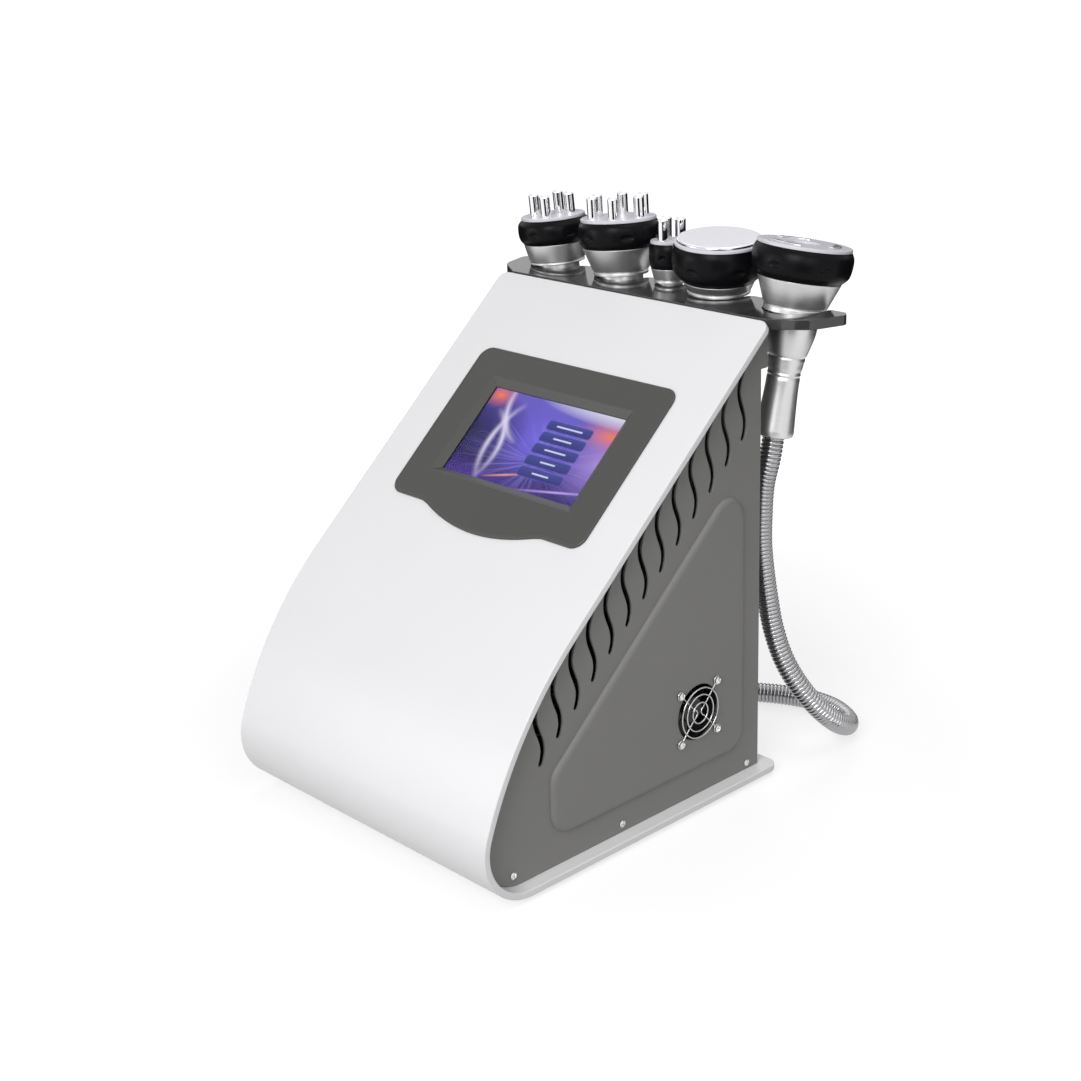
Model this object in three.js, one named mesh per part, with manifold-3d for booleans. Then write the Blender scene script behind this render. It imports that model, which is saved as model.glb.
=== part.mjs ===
// A tabletop cavitation slimming machine: one bent white sheet wraps a grey cabinet, a touch
// screen sits in its slope, and five handpieces hang in a shelf across the top.
// Millimetres. +Z is up, the screen faces -Y, and +X is to the right of someone who faces it.
import * as THREE from "three";
import { mergeVertices } from "three/addons/utils/BufferGeometryUtils.js";
import Module from "manifold-3d";

const wasm = await Module();
wasm.setup();

const degrees = THREE.MathUtils.degToRad;
const { cos, sin, tan, atan2, PI } = Math;

// Clearances
const FIT = 0.3; // between faces that meet
const RUNNING = 1; // round a piece that turns
const OVERRUN = 2; // how far a cut runs past the face that it opens
const WELD = 0.001; // points closer than this are one point

// The wrap sheet: top edge, slope, front curve, nose and base in one bent piece
const BODY_WIDTH = 356;
const BODY_HEIGHT = 454.8; // from the underside of the base to the top edge
const SHEET = 6.8; // thickness
const SLOPE = degrees(41.4); // of the straight part, from level
const NOSE_TURN = degrees(69.6); // where the front curve runs into the nose
const FRONT_RADIUS = 380;
const NOSE_RADIUS = 55;
const TOP_SETBACK = 5.7; // from the top edge back to the cabinet's rear plane
const BASE_TAIL = 16.7; // how far the base runs out behind the rear plane
const TOP_CORNER = 10;
const BASE_CORNER = 12.7;
const RAIL_HEIGHT = 18; // rails inside, which the side panels are screwed to
const RAIL = 4;

// Rubber feet
const FOOT_HEIGHT = 5;
const FOOT_RADIUS = 11;
const FOOT_INSET = 34; // from the edge of the base

// Side panels, with a row of wavy slots and an embossed field
const SIDE_INSET = 14.1; // how far the sheet overhangs a side panel
const PANEL = 2.5;
const SLOT_COUNT = 13;
const SLOT_START = 88.5; // along the slope, from the top edge to the first slot
const SLOT_DEPTH = 69; // from the face of the sheet to the lower ends of the slots
const SLOT_PITCH = 29.5;
const SLOT_LENGTH = 71;
const SLOT_WIDTH = 5.6;
const SLOT_SWING = 4.1; // how far the wave swings to each side
const SLOT_WAVE = 63.6; // length of one wave
const FIELD_REAR = 24.8; // from the rear plane to the embossed field
const FIELD_FRONT = 281.6;
const FIELD_BOTTOM = 29.4; // above the base
const FIELD_DEPTH = 86; // from the face of the sheet to the field's slanted edge
const FIELD_CORNER = 23;
const FIELD_RISE = 1.5;
const FIELD_BEVEL = 1.6;

// Rear: panel and the cross rail that carries the shelf
const REAR_PANEL = 2;
const RAIL_STEP = 9; // how far the cross rail stands behind the rear plane
const RAIL_DEPTH = 38; // from the shelf down to the foot of the cross rail
const CROSS_RAIL = 2.5; // its wall

// Shelf
const SHELF = 9.5; // thickness
const SHELF_HALF = 214.9;
const SHELF_REAR = 66.1; // rear edge, behind the rear plane
const SHOULDER_X = 203.4; // where the wing of the shelf turns to the rear
const SHOULDER_Y = 22.2;
const WING_X = 167.8; // where the wing leaves the front edge
const SHELF_CORNER = 7.6;
const MOUTH_CHAMFER = 5;

// Screen, measured along the slope from the top edge of the sheet
const BEZEL_HALF = 131;
const BEZEL_START = 89.4;
const BEZEL_END = 267;
const BEZEL_CORNER = 14;
const BEZEL_RISE = 2.3;
const BEZEL_BEVEL = 1;
const LIP_DROP = 16.5; // how far the curved lip hangs below the lower edge
const LIP_HALF = 79;
const WINDOW_HALF = 95;
const WINDOW_START = 122.9;
const WINDOW_END = 232.7;
const GLASS_HALF = 88;
const GLASS_START = 128.7;
const GLASS_END = 226.9;
const GLASS_DEPTH = 3.8; // below the face of the sheet
const GLASS = 1.8;
const DISPLAY = 5;
const GLASS_MARGIN = 6; // how far the glass runs under the bezel
const SCREEN_WELL = 3.2; // how far the bezel reaches down into the cut-out

// Fan, behind the right side panel
const FAN_Y = 91.7; // in front of the rear plane
const FAN_Z = 100.5;
const FAN_SIZE = 60;
const FAN_DEPTH = 25;
const FAN_BORE = 28.5;
const FAN_CORNER = 4;
const FAN_PITCH = 50; // between its screws
const FAN_HUB = 13;
const FAN_SHAFT = 2;
const SPIDER_ARM = 4;
const SPIDER = 2.5;
const FAN_HOLE = 27.7; // hole in the side panel
const BLADE = 1.4;
const BLADE_COUNT = 7;
const GUARD_WIRE = 0.9; // radius
const GUARD_RINGS = [24.8, 18.1, 10.3];
const GUARD_LOOP = 3.6; // radius of the loops round its screws
const GUARD_APEX = 2.4; // how far each bent wire stays from the middle
const GUARD_BEND = 6; // where its arms become straight
const SCREW = 1.8; // radius of the screw shanks
const SCREW_HEAD = 3.6;
const SCREW_HEAD_HEIGHT = 2;
const SCREW_REACH = 8; // below the face that the screw holds

// Screws of the side panels: from the rear plane, and above the base
const PANEL_SCREWS = [
  [17.5, 7.2],
  [192, 9.1],
  [328.5, 12],
];

// Inner pieces
const SUPPLY = [110, 170, 48];
const SUPPLY_WALL = 1.6;
const PUMP_RADIUS = 27;
const PUMP_LENGTH = 78;
const PUMP_HEAD = 34;
const DRIVER = [96, 120, 52];
const DRIVER_FIN = 3;
const DRIVER_FINS = 6;
const BOARD = 1.6;
const BOARD_SIZE = [150, 100];
const STANDOFF = 8;
const STANDOFF_RADIUS = 3.2;
const INNER_GAP = 14; // between inner pieces

// Rear fittings
const INLET_X = 105;
const INLET_Z = 60; // centre, above the base
const INLET_HALF = [24, 34];
const INLET_FLANGE = 2.5;
const INLET_BODY = [21, 30];
const INLET_DEPTH = 24;
const PLUG_HALF = [12.3, 8.3];
const PLUG_DEPTH = 16;
const PLUG_DROP = 12; // plug cavity below the centre
const BLADE_HALF = [1, 2.2];
const BLADE_REACH = 8;
const BLADE_PITCH = 7;
const ROCKER_HALF = [9.5, 6.5];
const ROCKER_RISE = 17; // rocker above the centre
const ROCKER_DEPTH = 9;
const ROCKER_PROUD = 2;
const ROCKER_PIVOT = 2; // depth of its pivot below the inlet's face
const ROCKER_TILT = degrees(8); // to each side of level
const SOCKET_RADIUS = 12;
const SOCKET_BORE = 7.5;
const SOCKET_FLANGE = 3;
const SOCKET_BARREL = 9; // radius where it passes through the panel
const SOCKET_REACH = 14; // inside the panel
const SOCKET_DEPTH = 12; // of the bore
const SOCKET_PROUD = 6;
const VACUUM_SCALE = 1.5; // the fifth socket takes the hose's larger plug
const SOCKET_Z = 190;
const SOCKET_PITCH = 52;

// Shelf seats, from left to right. The heads stand side by side in a row.
const ROW_SHIFT = 1.16; // of the middle of the row, from the middle of the machine
const HEAD_GAPS = [12.5, 0.6, 1.7, 0.1]; // between the bulges of neighbours
// How far back each seat is, as a share of the shelf's rear edge
const seatShares = { quad: 0.8, hexa: 0.8, tripolar: 0.875, cavitation: 0.79, vacuum: 0.8 };

// Handpieces. Each is turned about its own axis, from the waist that seats on the shelf:
// the cone opens upwards to a bulged collar under a flat face, and the handle hangs below.
const PIN_RADIUS = 5.25;
const PIN_LENGTH = 22.6;
const PIN_RIM = 1; // of the plate that carries the pins, round the outermost
const ELECTRODE_PLATE = 1.6;
const FACE = 3.2; // thickness of a face disc
const DIMPLES = 8;
const DIMPLE = [4.6, 2.7, 1.4]; // half width, half height and depth
const QUAD = {
  lean: degrees(5.4),
  toward: degrees(193.3), // which way it leans, from the right
  waist: 28.5,
  flange: 1.2,
  neck: 22,
  cone: 19.8,
  coneTop: 33,
  bulge: 37.8,
  height: 47.8,
  face: 33,
  handle: 124,
  grip: 17,
  pins: 4,
  pinCircle: 19.3,
  spin: degrees(25.5),
};
const HEXA = {
  lean: degrees(4.4),
  toward: degrees(161.3),
  waist: 27.7,
  flange: 2.4,
  neck: 22,
  cone: 25,
  coneTop: 37.5,
  bulge: 41.3,
  height: 54.3,
  face: 38.1,
  handle: 124,
  grip: 17,
  pins: 6,
  pinCircle: 27.1,
  spin: degrees(4),
};
const TRIPOLAR = {
  lean: degrees(3),
  toward: degrees(137),
  waist: 15.9,
  flange: 2,
  neck: 12,
  cone: 12.3,
  coneTop: 19.2,
  bulge: 21,
  height: 39.8,
  face: 19.4,
  handle: 108,
  grip: 10.5,
  pins: 3,
  pinCircle: 10.4,
  spin: degrees(32),
};
const CAVITATION = {
  lean: degrees(4),
  toward: degrees(-43),
  waist: 30.5,
  flange: 2,
  neck: 24,
  cone: 9.8,
  coneTop: 35,
  bulge: 45.3,
  height: 48.7,
  face: 43,
  handle: 122,
  grip: 18,
  disc: 40.5,
  stem: 12,
};
const VACUUM = {
  lean: degrees(9.85),
  toward: degrees(71),
  sink: 0.4, // its flange sinks into the notch, and the waist stays this far above the shelf
  waist: 29.2,
  flange: 4.6,
  neck: 23.6,
  cone: 26.4,
  coneTop: 39.4,
  bulge: 47.2,
  height: 59.5,
  face: 44.2,
  handle: 122.4,
  grip: 15.7,
  core: 34.5,
  port: 13,
  slotCircle: 30,
  slotWidth: 7,
  slotTurn: degrees(62),
  electrodeProud: 1,
};

// Hose of the vacuum handpiece. The route runs from the handle's end down behind the
// machine and along the floor to the coil.
const HOSE_RADIUS = 10.6;
const HOSE_VALLEY = 9.3;
const HOSE_BORE = 8.2;
const RIB_PITCH = 8;
const HOSE_ROUTE = [
  [145.2, 27.4, 290],
  [142.2, 28.3, 256.5],
  [140.9, 30, 228],
  [142.1, 32.7, 200],
  [145.6, 34.9, 171],
  [151.6, 36.6, 141],
  [161.8, 40.5, 110.5],
  [174.6, 49.1, 83],
  [186, 64.5, 57.5],
  [191, 87, 35.5],
  [184.5, 115, 19.5],
  [166.5, 139, 12],
  [139.5, 152.4, 10.9],
  [109, 152.8, 10.9],
  [80, 143, 10.9],
  [50, 125.6, 10.9],
  [18, 104, 10.9],
  [-16, 81.4, 10.9],
  [-52, 60.6, 10.9],
  [-90, 44.6, 10.9],
  [-128, 35, 10.9],
];
const COIL_X = -178;
const COIL_Y = 160;
const COIL_Z = 10.9;
const COIL_RADIUS = 128;
const COIL_TURNS = 1.3;
const COIL_PITCH = 23; // inward, each turn
const COIL_CLOSE = 0.8; // turns after which the coil draws in faster
const COIL_DRAW = 108; // how fast it then draws in
const COIL_END_Z = 14.2;
const PLUG_RADIUS = 13.2;
const PLUG_LENGTH = 46;
const PLUG_NOSE = 8;

// Facets
const FRONT_STEPS = 10;
const NOSE_STEPS = 12;
const CORNER_STEPS = 3;
const ROUND = 18;
const SMALL_ROUND = 8;
const SLOT_STEPS = 5;
const WIRE_STEPS = 12;
const WIRE_SIDES = 5;
const HOSE_SIDES = 8;
const COIL_SIDES = 6;
const COIL_TURN_STEPS = 24;
const BORE_STRIDE = 10; // stations of the ribs for each ring of the bore

// Colours
const finish = (color, roughness, metalness, more = {}) =>
  new THREE.MeshStandardMaterial({ color, roughness, metalness, ...more });
const WHITE = finish(0xf2f1f4, 0.35, 0);
const GREY = finish(0x6c6b69, 0.55, 0.1);
const DARK = finish(0x4f4f4e, 0.4, 0);
const SHELF_BLACK = finish(0x2c2d30, 0.12, 0);
const BLACK = finish(0x121214, 0.3, 0);
const FACE_WHITE = finish(0xe4e2ee, 0.3, 0);
const ALUMINIUM = finish(0xb9bbbf, 0.32, 0.9);
const CHROME = finish(0xd9dbe0, 0.08, 1);
const STEEL = finish(0xa9abad, 0.3, 1);
const RUBBER = finish(0x1a1a1a, 0.9, 0);
const HOSE_GREY = finish(0x7d7f82, 0.45, 0.2);
const CLEAR = finish(0x20242c, 0.05, 0, { transparent: true, opacity: 0.35 });
const SCREEN = finish(0x3a2a86, 0.3, 0);
const GREEN = finish(0x1d5a35, 0.5, 0);
const GALVANISED = finish(0x9fa3a6, 0.45, 0.8);

// Solids
function solidOf(geometry) {
  const bare = geometry.clone();
  bare.deleteAttribute("normal");
  bare.deleteAttribute("uv");
  const merged = mergeVertices(bare, WELD);
  return new wasm.Manifold(
    new wasm.Mesh({
      numProp: 3,
      vertProperties: merged.attributes.position.array,
      triVerts: new Uint32Array(merged.index.array),
    }),
  );
}

function geometryOf(solid) {
  const mesh = solid.getMesh();
  const indexed = new THREE.BufferGeometry();
  indexed.setAttribute("position", new THREE.BufferAttribute(mesh.vertProperties, 3));
  indexed.setIndex(new THREE.BufferAttribute(mesh.triVerts, 1));
  const geometry = indexed.toNonIndexed();
  geometry.computeVertexNormals();
  return geometry;
}

function joined(...geometries) {
  return geometryOf(geometries.map(solidOf).reduce((whole, next) => whole.add(next)));
}

function cut(geometry, ...tools) {
  const solids = tools.map(solidOf);
  return geometryOf(solids.reduce((rest, tool) => rest.subtract(tool), solidOf(geometry)));
}

// Moves a geometry, after an optional turn about Z
function at(geometry, x, y, z, turn = 0) {
  return geometry.clone().rotateZ(turn).translate(x, y, z);
}

function mesh(name, geometry, material, parent) {
  const piece = new THREE.Mesh(geometry, material);
  piece.name = name;
  parent.add(piece);
  return piece;
}

// Turns a closed profile of [radius, height] points about the Z axis, with its faces outwards
function turned(profile, segments = ROUND) {
  const area = profile.reduce((sum, [r, h], i) => {
    const [nextR, nextH] = profile[(i + 1) % profile.length];
    return sum + r * nextH - nextR * h;
  }, 0);
  const ordered = area < 0 ? [...profile].reverse() : profile;
  const points = ordered.map(([r, h]) => new THREE.Vector2(r, h));
  if (profile.every(([r]) => r > 0)) points.push(points[0].clone());
  return new THREE.LatheGeometry(points, segments).rotateX(PI / 2);
}

// A cylinder along Z that stands on z = bottom
function cylinder(radius, bottom, height, segments = SMALL_ROUND) {
  return new THREE.CylinderGeometry(radius, radius, height, segments)
    .rotateX(PI / 2)
    .translate(0, 0, bottom + height / 2);
}

function box(width, depth, height, x, y, bottom) {
  return new THREE.BoxGeometry(width, depth, height).translate(x, y, bottom + height / 2);
}

// A plane outline through its corners, each rounded by its own or the given radius
function outline(corners, radius = 0, steps = CORNER_STEPS) {
  const points = corners.map(([x, y]) => new THREE.Vector2(x, y));
  const path = [];
  points.forEach((corner, i) => {
    const size = corners[i][2] ?? radius;
    if (size === 0) {
      path.push(corner);
      return;
    }
    const back = points.at(i - 1).clone().sub(corner).normalize();
    const on = points[(i + 1) % points.length].clone().sub(corner).normalize();
    const half = back.angleTo(on) / 2;
    const centre = back.clone().add(on).normalize().multiplyScalar(size / sin(half)).add(corner);
    const reach = size / tan(half);
    const start = back.multiplyScalar(reach).add(corner).sub(centre);
    const end = on.multiplyScalar(reach).add(corner).sub(centre);
    const from = atan2(start.y, start.x);
    const sweep = atan2(start.cross(end), start.dot(end));
    for (let step = 0; step <= steps; step++) {
      const angle = from + (sweep * step) / steps;
      path.push(new THREE.Vector2(size * cos(angle), size * sin(angle)).add(centre));
    }
  });
  return new THREE.Shape(path);
}

function plate(shape, bottom, height, more = {}) {
  const options = { depth: height, bevelEnabled: false, steps: 1, ...more };
  return new THREE.ExtrudeGeometry(shape, options).translate(0, 0, bottom);
}

// Carries a (y, z) outline along X: its own x becomes y, its y becomes z, its depth becomes x
const ALONG_X = new THREE.Matrix4().makeBasis(
  new THREE.Vector3(0, 1, 0),
  new THREE.Vector3(0, 0, 1),
  new THREE.Vector3(1, 0, 0),
);
function across(shape, from, width, more = {}) {
  return plate(shape, from, width, more).applyMatrix4(ALONG_X);
}

const machine = new THREE.Group();

// The sheet's side view. Places that follow from the sizes:
const BASE_TOP = FOOT_HEIGHT + SHEET;
const TOP = { y: -TOP_SETBACK, z: FOOT_HEIGHT + BODY_HEIGHT };
const NOSE_Z = FOOT_HEIGHT + NOSE_RADIUS;
const FRONT_Z = NOSE_Z + (NOSE_RADIUS - FRONT_RADIUS) * cos(NOSE_TURN);
const SLOPE_LENGTH = (TOP.z - FRONT_Z - FRONT_RADIUS * cos(SLOPE)) / sin(SLOPE);
const FRONT_Y = TOP.y - SLOPE_LENGTH * cos(SLOPE) + FRONT_RADIUS * sin(SLOPE);
const NOSE_Y = FRONT_Y - (FRONT_RADIUS - NOSE_RADIUS) * sin(NOSE_TURN);

function arc(y, z, radius, from, to, steps) {
  return Array.from({ length: steps + 1 }, (_, i) => {
    const angle = from + ((to - from) * i) / steps;
    return [y + radius * cos(angle), z + radius * sin(angle)];
  });
}

// Points of the sheet's line, set in by a depth, from the top edge round to y = rear
function sheetLine(depth, rear) {
  const start = PI / 2 + SLOPE;
  const turn = PI / 2 + NOSE_TURN;
  return [
    [TOP.y + depth * sin(SLOPE), TOP.z - depth * cos(SLOPE)],
    ...arc(FRONT_Y, FRONT_Z, FRONT_RADIUS - depth, start, turn, FRONT_STEPS),
    ...arc(NOSE_Y, NOSE_Z, NOSE_RADIUS - depth, turn, PI * 1.5, NOSE_STEPS).slice(1),
    [rear, FOOT_HEIGHT + depth],
  ];
}

// The y at which the slope, set in by a depth, has height z, and the height that it has at y
const slopeY = (z, depth) =>
  TOP.y + depth * sin(SLOPE) + (z - TOP.z + depth * cos(SLOPE)) / tan(SLOPE);
const slopeZ = (y, depth) =>
  TOP.z - depth * cos(SLOPE) + (y - TOP.y - depth * sin(SLOPE)) * tan(SLOPE);

// Everything on the slope is built flat, with x across, y up the slope and z out of it,
// and its origin at the sheet's top edge
const slope = new THREE.Group();
slope.position.set(0, TOP.y, TOP.z);
slope.rotation.x = SLOPE;
slope.updateMatrix();
machine.add(slope);
const onSlope = (geometry) => geometry.clone().applyMatrix4(slope.matrix);

// Cuts the outside of a rounded corner away. The corner is at the origin and the piece
// lies on its -x and -y sides.
function cornerCutter(radius, bottom, height) {
  const centre = -radius;
  const points = arc(centre, centre, radius, PI / 2, 0, CORNER_STEPS);
  const shape = [...points, [OVERRUN, centre], [OVERRUN, OVERRUN], [centre, OVERRUN]];
  return plate(outline(shape), bottom, height);
}

const SIDE_X = BODY_WIDTH / 2 - SIDE_INSET; // outer face of a side panel
const INNER_X = SIDE_X - PANEL - FIT; // half the room between the side panels
const SHELF_BOTTOM = TOP.z - SHELF;
const THROUGH = SHEET + 2 * OVERRUN;

function screenOpening(grow, bottom, height) {
  const corners = [
    [-GLASS_HALF - grow, -GLASS_END - grow],
    [GLASS_HALF + grow, -GLASS_END - grow],
    [GLASS_HALF + grow, -GLASS_START + grow],
    [-GLASS_HALF - grow, -GLASS_START + grow],
  ];
  return plate(outline(corners), bottom, height);
}

// Wrap sheet, with its inner rails
const SCREEN_GROW = GLASS_MARGIN + FIT;
const railX = INNER_X - RAIL / 2;
const railLine = sheetLine(SHEET / 2, -RAIL_STEP).filter(([, z]) => z < BASE_TOP + RAIL_HEIGHT / 2);
const railShape = outline([
  ...railLine,
  [-RAIL_STEP, BASE_TOP + RAIL_HEIGHT],
  [railLine[0][0], BASE_TOP + RAIL_HEIGHT],
]);
const screwDrills = PANEL_SCREWS.map(([back, up]) =>
  cylinder(SCREW + FIT, -SIDE_X - OVERRUN, 2 * (SIDE_X + OVERRUN))
    .rotateY(PI / 2)
    .translate(0, -back, BASE_TOP + up),
);
const sheetBody = across(
  outline([...sheetLine(0, BASE_TAIL), ...sheetLine(SHEET, BASE_TAIL).reverse()]),
  -BODY_WIDTH / 2,
  BODY_WIDTH,
);
const sheetEdge = BODY_WIDTH / 2;
const topCutter = onSlope(
  cornerCutter(TOP_CORNER, -SHEET - OVERRUN, THROUGH).translate(sheetEdge, 0, 0),
);
const tailCutter = cornerCutter(BASE_CORNER, FOOT_HEIGHT - OVERRUN, THROUGH)
  .translate(sheetEdge, BASE_TAIL, 0);
const mirrored = (geometry) => {
  const flipped = geometry.clone().scale(-1, 1, 1);
  const positions = flipped.attributes.position;
  const [a, b] = [new THREE.Vector3(), new THREE.Vector3()];
  for (let i = 0; i < positions.count; i += 3) {
    a.fromBufferAttribute(positions, i);
    b.fromBufferAttribute(positions, i + 1);
    positions.setXYZ(i, b.x, b.y, b.z);
    positions.setXYZ(i + 1, a.x, a.y, a.z);
  }
  return flipped;
};
const wrapSheet = cut(
  joined(
    sheetBody,
    across(railShape, railX - RAIL / 2, RAIL),
    across(railShape, -railX - RAIL / 2, RAIL),
  ),
  topCutter,
  mirrored(topCutter),
  tailCutter,
  mirrored(tailCutter),
  onSlope(screenOpening(SCREEN_GROW, -SHEET - OVERRUN, THROUGH)),
  ...screwDrills,
);
mesh("wrap_sheet", wrapSheet, WHITE, machine);

// Feet
const footY = { front: NOSE_Y + FOOT_INSET, rear: BASE_TAIL - FOOT_INSET };
for (const [place, y] of Object.entries(footY)) {
  for (const [side, sign] of Object.entries({ left: -1, right: 1 })) {
    const profile = [
      [0, 0],
      [FOOT_RADIUS * 0.8, 0],
      [FOOT_RADIUS * 0.9, FOOT_HEIGHT * 0.25],
      [FOOT_RADIUS, FOOT_HEIGHT - FIT],
      [0, FOOT_HEIGHT - FIT],
    ];
    const foot = mesh(`foot_${place}_${side}`, turned(profile, 12), RUBBER, machine);
    foot.position.set(sign * (BODY_WIDTH / 2 - FOOT_INSET), y, 0);
  }
}

// Side panels
function slotShape(index) {
  const along = SLOT_START + index * SLOT_PITCH;
  const y0 = TOP.y - along * cos(SLOPE) + SLOT_DEPTH * sin(SLOPE);
  const z0 = TOP.z - along * sin(SLOPE) - SLOT_DEPTH * cos(SLOPE);
  const sides = [[], []];
  const swell = SLOT_WIDTH / 2;
  for (let i = 0; i <= SLOT_STEPS; i++) {
    const s = swell + ((SLOT_LENGTH - SLOT_WIDTH) * i) / SLOT_STEPS;
    const phase = (2 * PI * s) / SLOT_WAVE;
    const lean = atan2(SLOT_SWING * 2 * PI * cos(phase), SLOT_WAVE);
    const y = y0 + SLOT_SWING * sin(phase);
    sides[0].push([y + swell * cos(lean), z0 + s - swell * sin(lean)]);
    sides[1].unshift([y - swell * cos(lean), z0 + s + swell * sin(lean)]);
  }
  const tip = (s) => [y0 + SLOT_SWING * sin((2 * PI * s) / SLOT_WAVE), z0 + s];
  return outline([tip(0), ...sides[0], tip(SLOT_LENGTH), ...sides[1]]);
}

const PANEL_DEPTH = SHEET + FIT;
const panelTop = SHELF_BOTTOM - FIT;
const railFoot = SHELF_BOTTOM - RAIL_DEPTH;
const panelShape = outline([
  [slopeY(panelTop, PANEL_DEPTH), panelTop],
  ...sheetLine(PANEL_DEPTH, 0).slice(1),
  [0, railFoot],
  [RAIL_STEP, railFoot],
  [RAIL_STEP, panelTop],
]);
const fieldShape = (grow) => {
  const rear = -FIELD_REAR + grow;
  const front = -FIELD_FRONT - grow;
  const bottom = BASE_TOP + FIELD_BOTTOM - grow;
  const depth = FIELD_DEPTH - grow;
  const corners = [
    [rear, bottom],
    [rear, slopeZ(rear, depth)],
    [front, slopeZ(front, depth)],
    [front, bottom],
  ];
  return outline(corners, FIELD_CORNER + grow);
};
const bevelled = (rise, width) => ({
  bevelEnabled: true,
  bevelSegments: 1,
  bevelThickness: rise,
  bevelSize: width,
  bevelOffset: -width,
});
const fieldOptions = bevelled(FIELD_RISE, FIELD_BEVEL);
const field = across(fieldShape(0), SIDE_X - PANEL / 2, PANEL / 2, fieldOptions);
const fieldBack = across(fieldShape(-PANEL), SIDE_X - PANEL - OVERRUN, FIELD_RISE + OVERRUN);
const slots = Array.from({ length: SLOT_COUNT }, (_, i) =>
  across(slotShape(i), SIDE_X - PANEL - OVERRUN, THROUGH),
);
const panelBody = joined(across(panelShape, SIDE_X - PANEL, PANEL), field);
const panelCuts = [fieldBack, ...slots, ...screwDrills];
const leftPanel = mesh("side_panel_left", cut(panelBody, ...panelCuts), GREY, machine);
leftPanel.scale.x = -1;

// The fan and its guard share a frame whose z points out through the right side panel,
// from its inner face, and whose y points to the rear
const fan = new THREE.Group();
fan.position.set(SIDE_X - PANEL, -FAN_Y, FAN_Z);
fan.rotation.y = PI / 2;
fan.updateMatrix();
machine.add(fan);
const FACE_OUT = PANEL + FIELD_RISE; // outer face of the embossed field, in that frame
const fanCorners = [
  [-1, -1],
  [1, -1],
  [1, 1],
  [-1, 1],
].map(([x, y]) => [(x * FAN_PITCH) / 2, (y * FAN_PITCH) / 2]);
const fanOpening = [
  cylinder(FAN_HOLE, -OVERRUN, FACE_OUT + 2 * OVERRUN, ROUND),
  ...fanCorners.map(([x, y]) => at(cylinder(SCREW + FIT, -OVERRUN, FACE_OUT + 2 * OVERRUN), x, y, 0)),
].map((tool) => tool.applyMatrix4(fan.matrix));
mesh("side_panel_right", cut(panelBody, ...panelCuts, ...fanOpening), GREY, machine);

// The embossed field is hollow behind, so the fan's frame reaches into it
const frameTop = FIELD_RISE - FIT;
const frameFoot = frameTop - FAN_DEPTH;
const square = (half) => [
  [-half, -half],
  [half, -half],
  [half, half],
  [-half, half],
];
const frameDrill = cylinder(SCREW + FIT, frameFoot - OVERRUN, FAN_DEPTH + 2 * OVERRUN);
const fanFrameBody = cut(
  plate(outline(square(FAN_SIZE / 2), FAN_CORNER), frameFoot, FAN_DEPTH),
  cylinder(FAN_BORE, frameFoot + SPIDER, FAN_DEPTH + OVERRUN, ROUND),
  cylinder(FAN_BORE, frameFoot - OVERRUN, FAN_DEPTH + OVERRUN, ROUND),
  ...fanCorners.map(([x, y]) => at(frameDrill, x, y, 0)),
);
const armLength = 2 * (FAN_BORE + OVERRUN);
const spider = joined(
  cylinder(FAN_HUB, frameFoot, SPIDER, ROUND),
  box(armLength, SPIDER_ARM, SPIDER, 0, 0, frameFoot).rotateZ(PI / 4),
  box(armLength, SPIDER_ARM, SPIDER, 0, 0, frameFoot).rotateZ(-PI / 4),
  cylinder(FAN_SHAFT, frameFoot, FAN_DEPTH / 2),
);
const armTrim = cut(
  cylinder(armLength, frameFoot - OVERRUN, FAN_DEPTH, ROUND),
  cylinder(FAN_BORE + RUNNING, frameFoot - 2 * OVERRUN, FAN_DEPTH + 3 * OVERRUN, ROUND),
);
mesh("fan_frame", joined(fanFrameBody, cut(spider, armTrim)), BLACK, fan);

// Impeller: swept blades round a hub that runs on the frame's shaft
const hubFoot = frameFoot + SPIDER + FIT;
const hubHeight = frameTop - RUNNING - hubFoot;
const bladeReach = FAN_BORE - RUNNING - FAN_HUB / 2;
const bladeShape = outline([
  [-hubHeight * 0.55, hubFoot + RUNNING],
  [-hubHeight * 0.55 + BLADE, hubFoot + RUNNING],
  [BLADE, hubFoot + hubHeight * 0.6],
  [hubHeight * 0.3, hubFoot + hubHeight],
  [hubHeight * 0.3 - BLADE, hubFoot + hubHeight],
  [-BLADE * 0.3, hubFoot + hubHeight * 0.6],
]);
const blade = plate(bladeShape, FAN_HUB / 2, bladeReach).rotateX(PI / 2).rotateZ(PI);
const hub = cylinder(FAN_HUB, hubFoot, hubHeight, ROUND);
const blades = Array.from({ length: BLADE_COUNT }, (_, i) =>
  blade.clone().rotateZ((2 * PI * i) / BLADE_COUNT),
);
const hubBore = cylinder(FAN_SHAFT + FIT, hubFoot - OVERRUN, FAN_DEPTH / 2 + OVERRUN);
const sweep = solidOf(cylinder(FAN_BORE - RUNNING, hubFoot, hubHeight, ROUND));
const impeller = solidOf(joined(hub, ...blades)).intersect(sweep).subtract(solidOf(hubBore));
mesh("fan_impeller", geometryOf(impeller), BLACK, fan);

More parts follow.
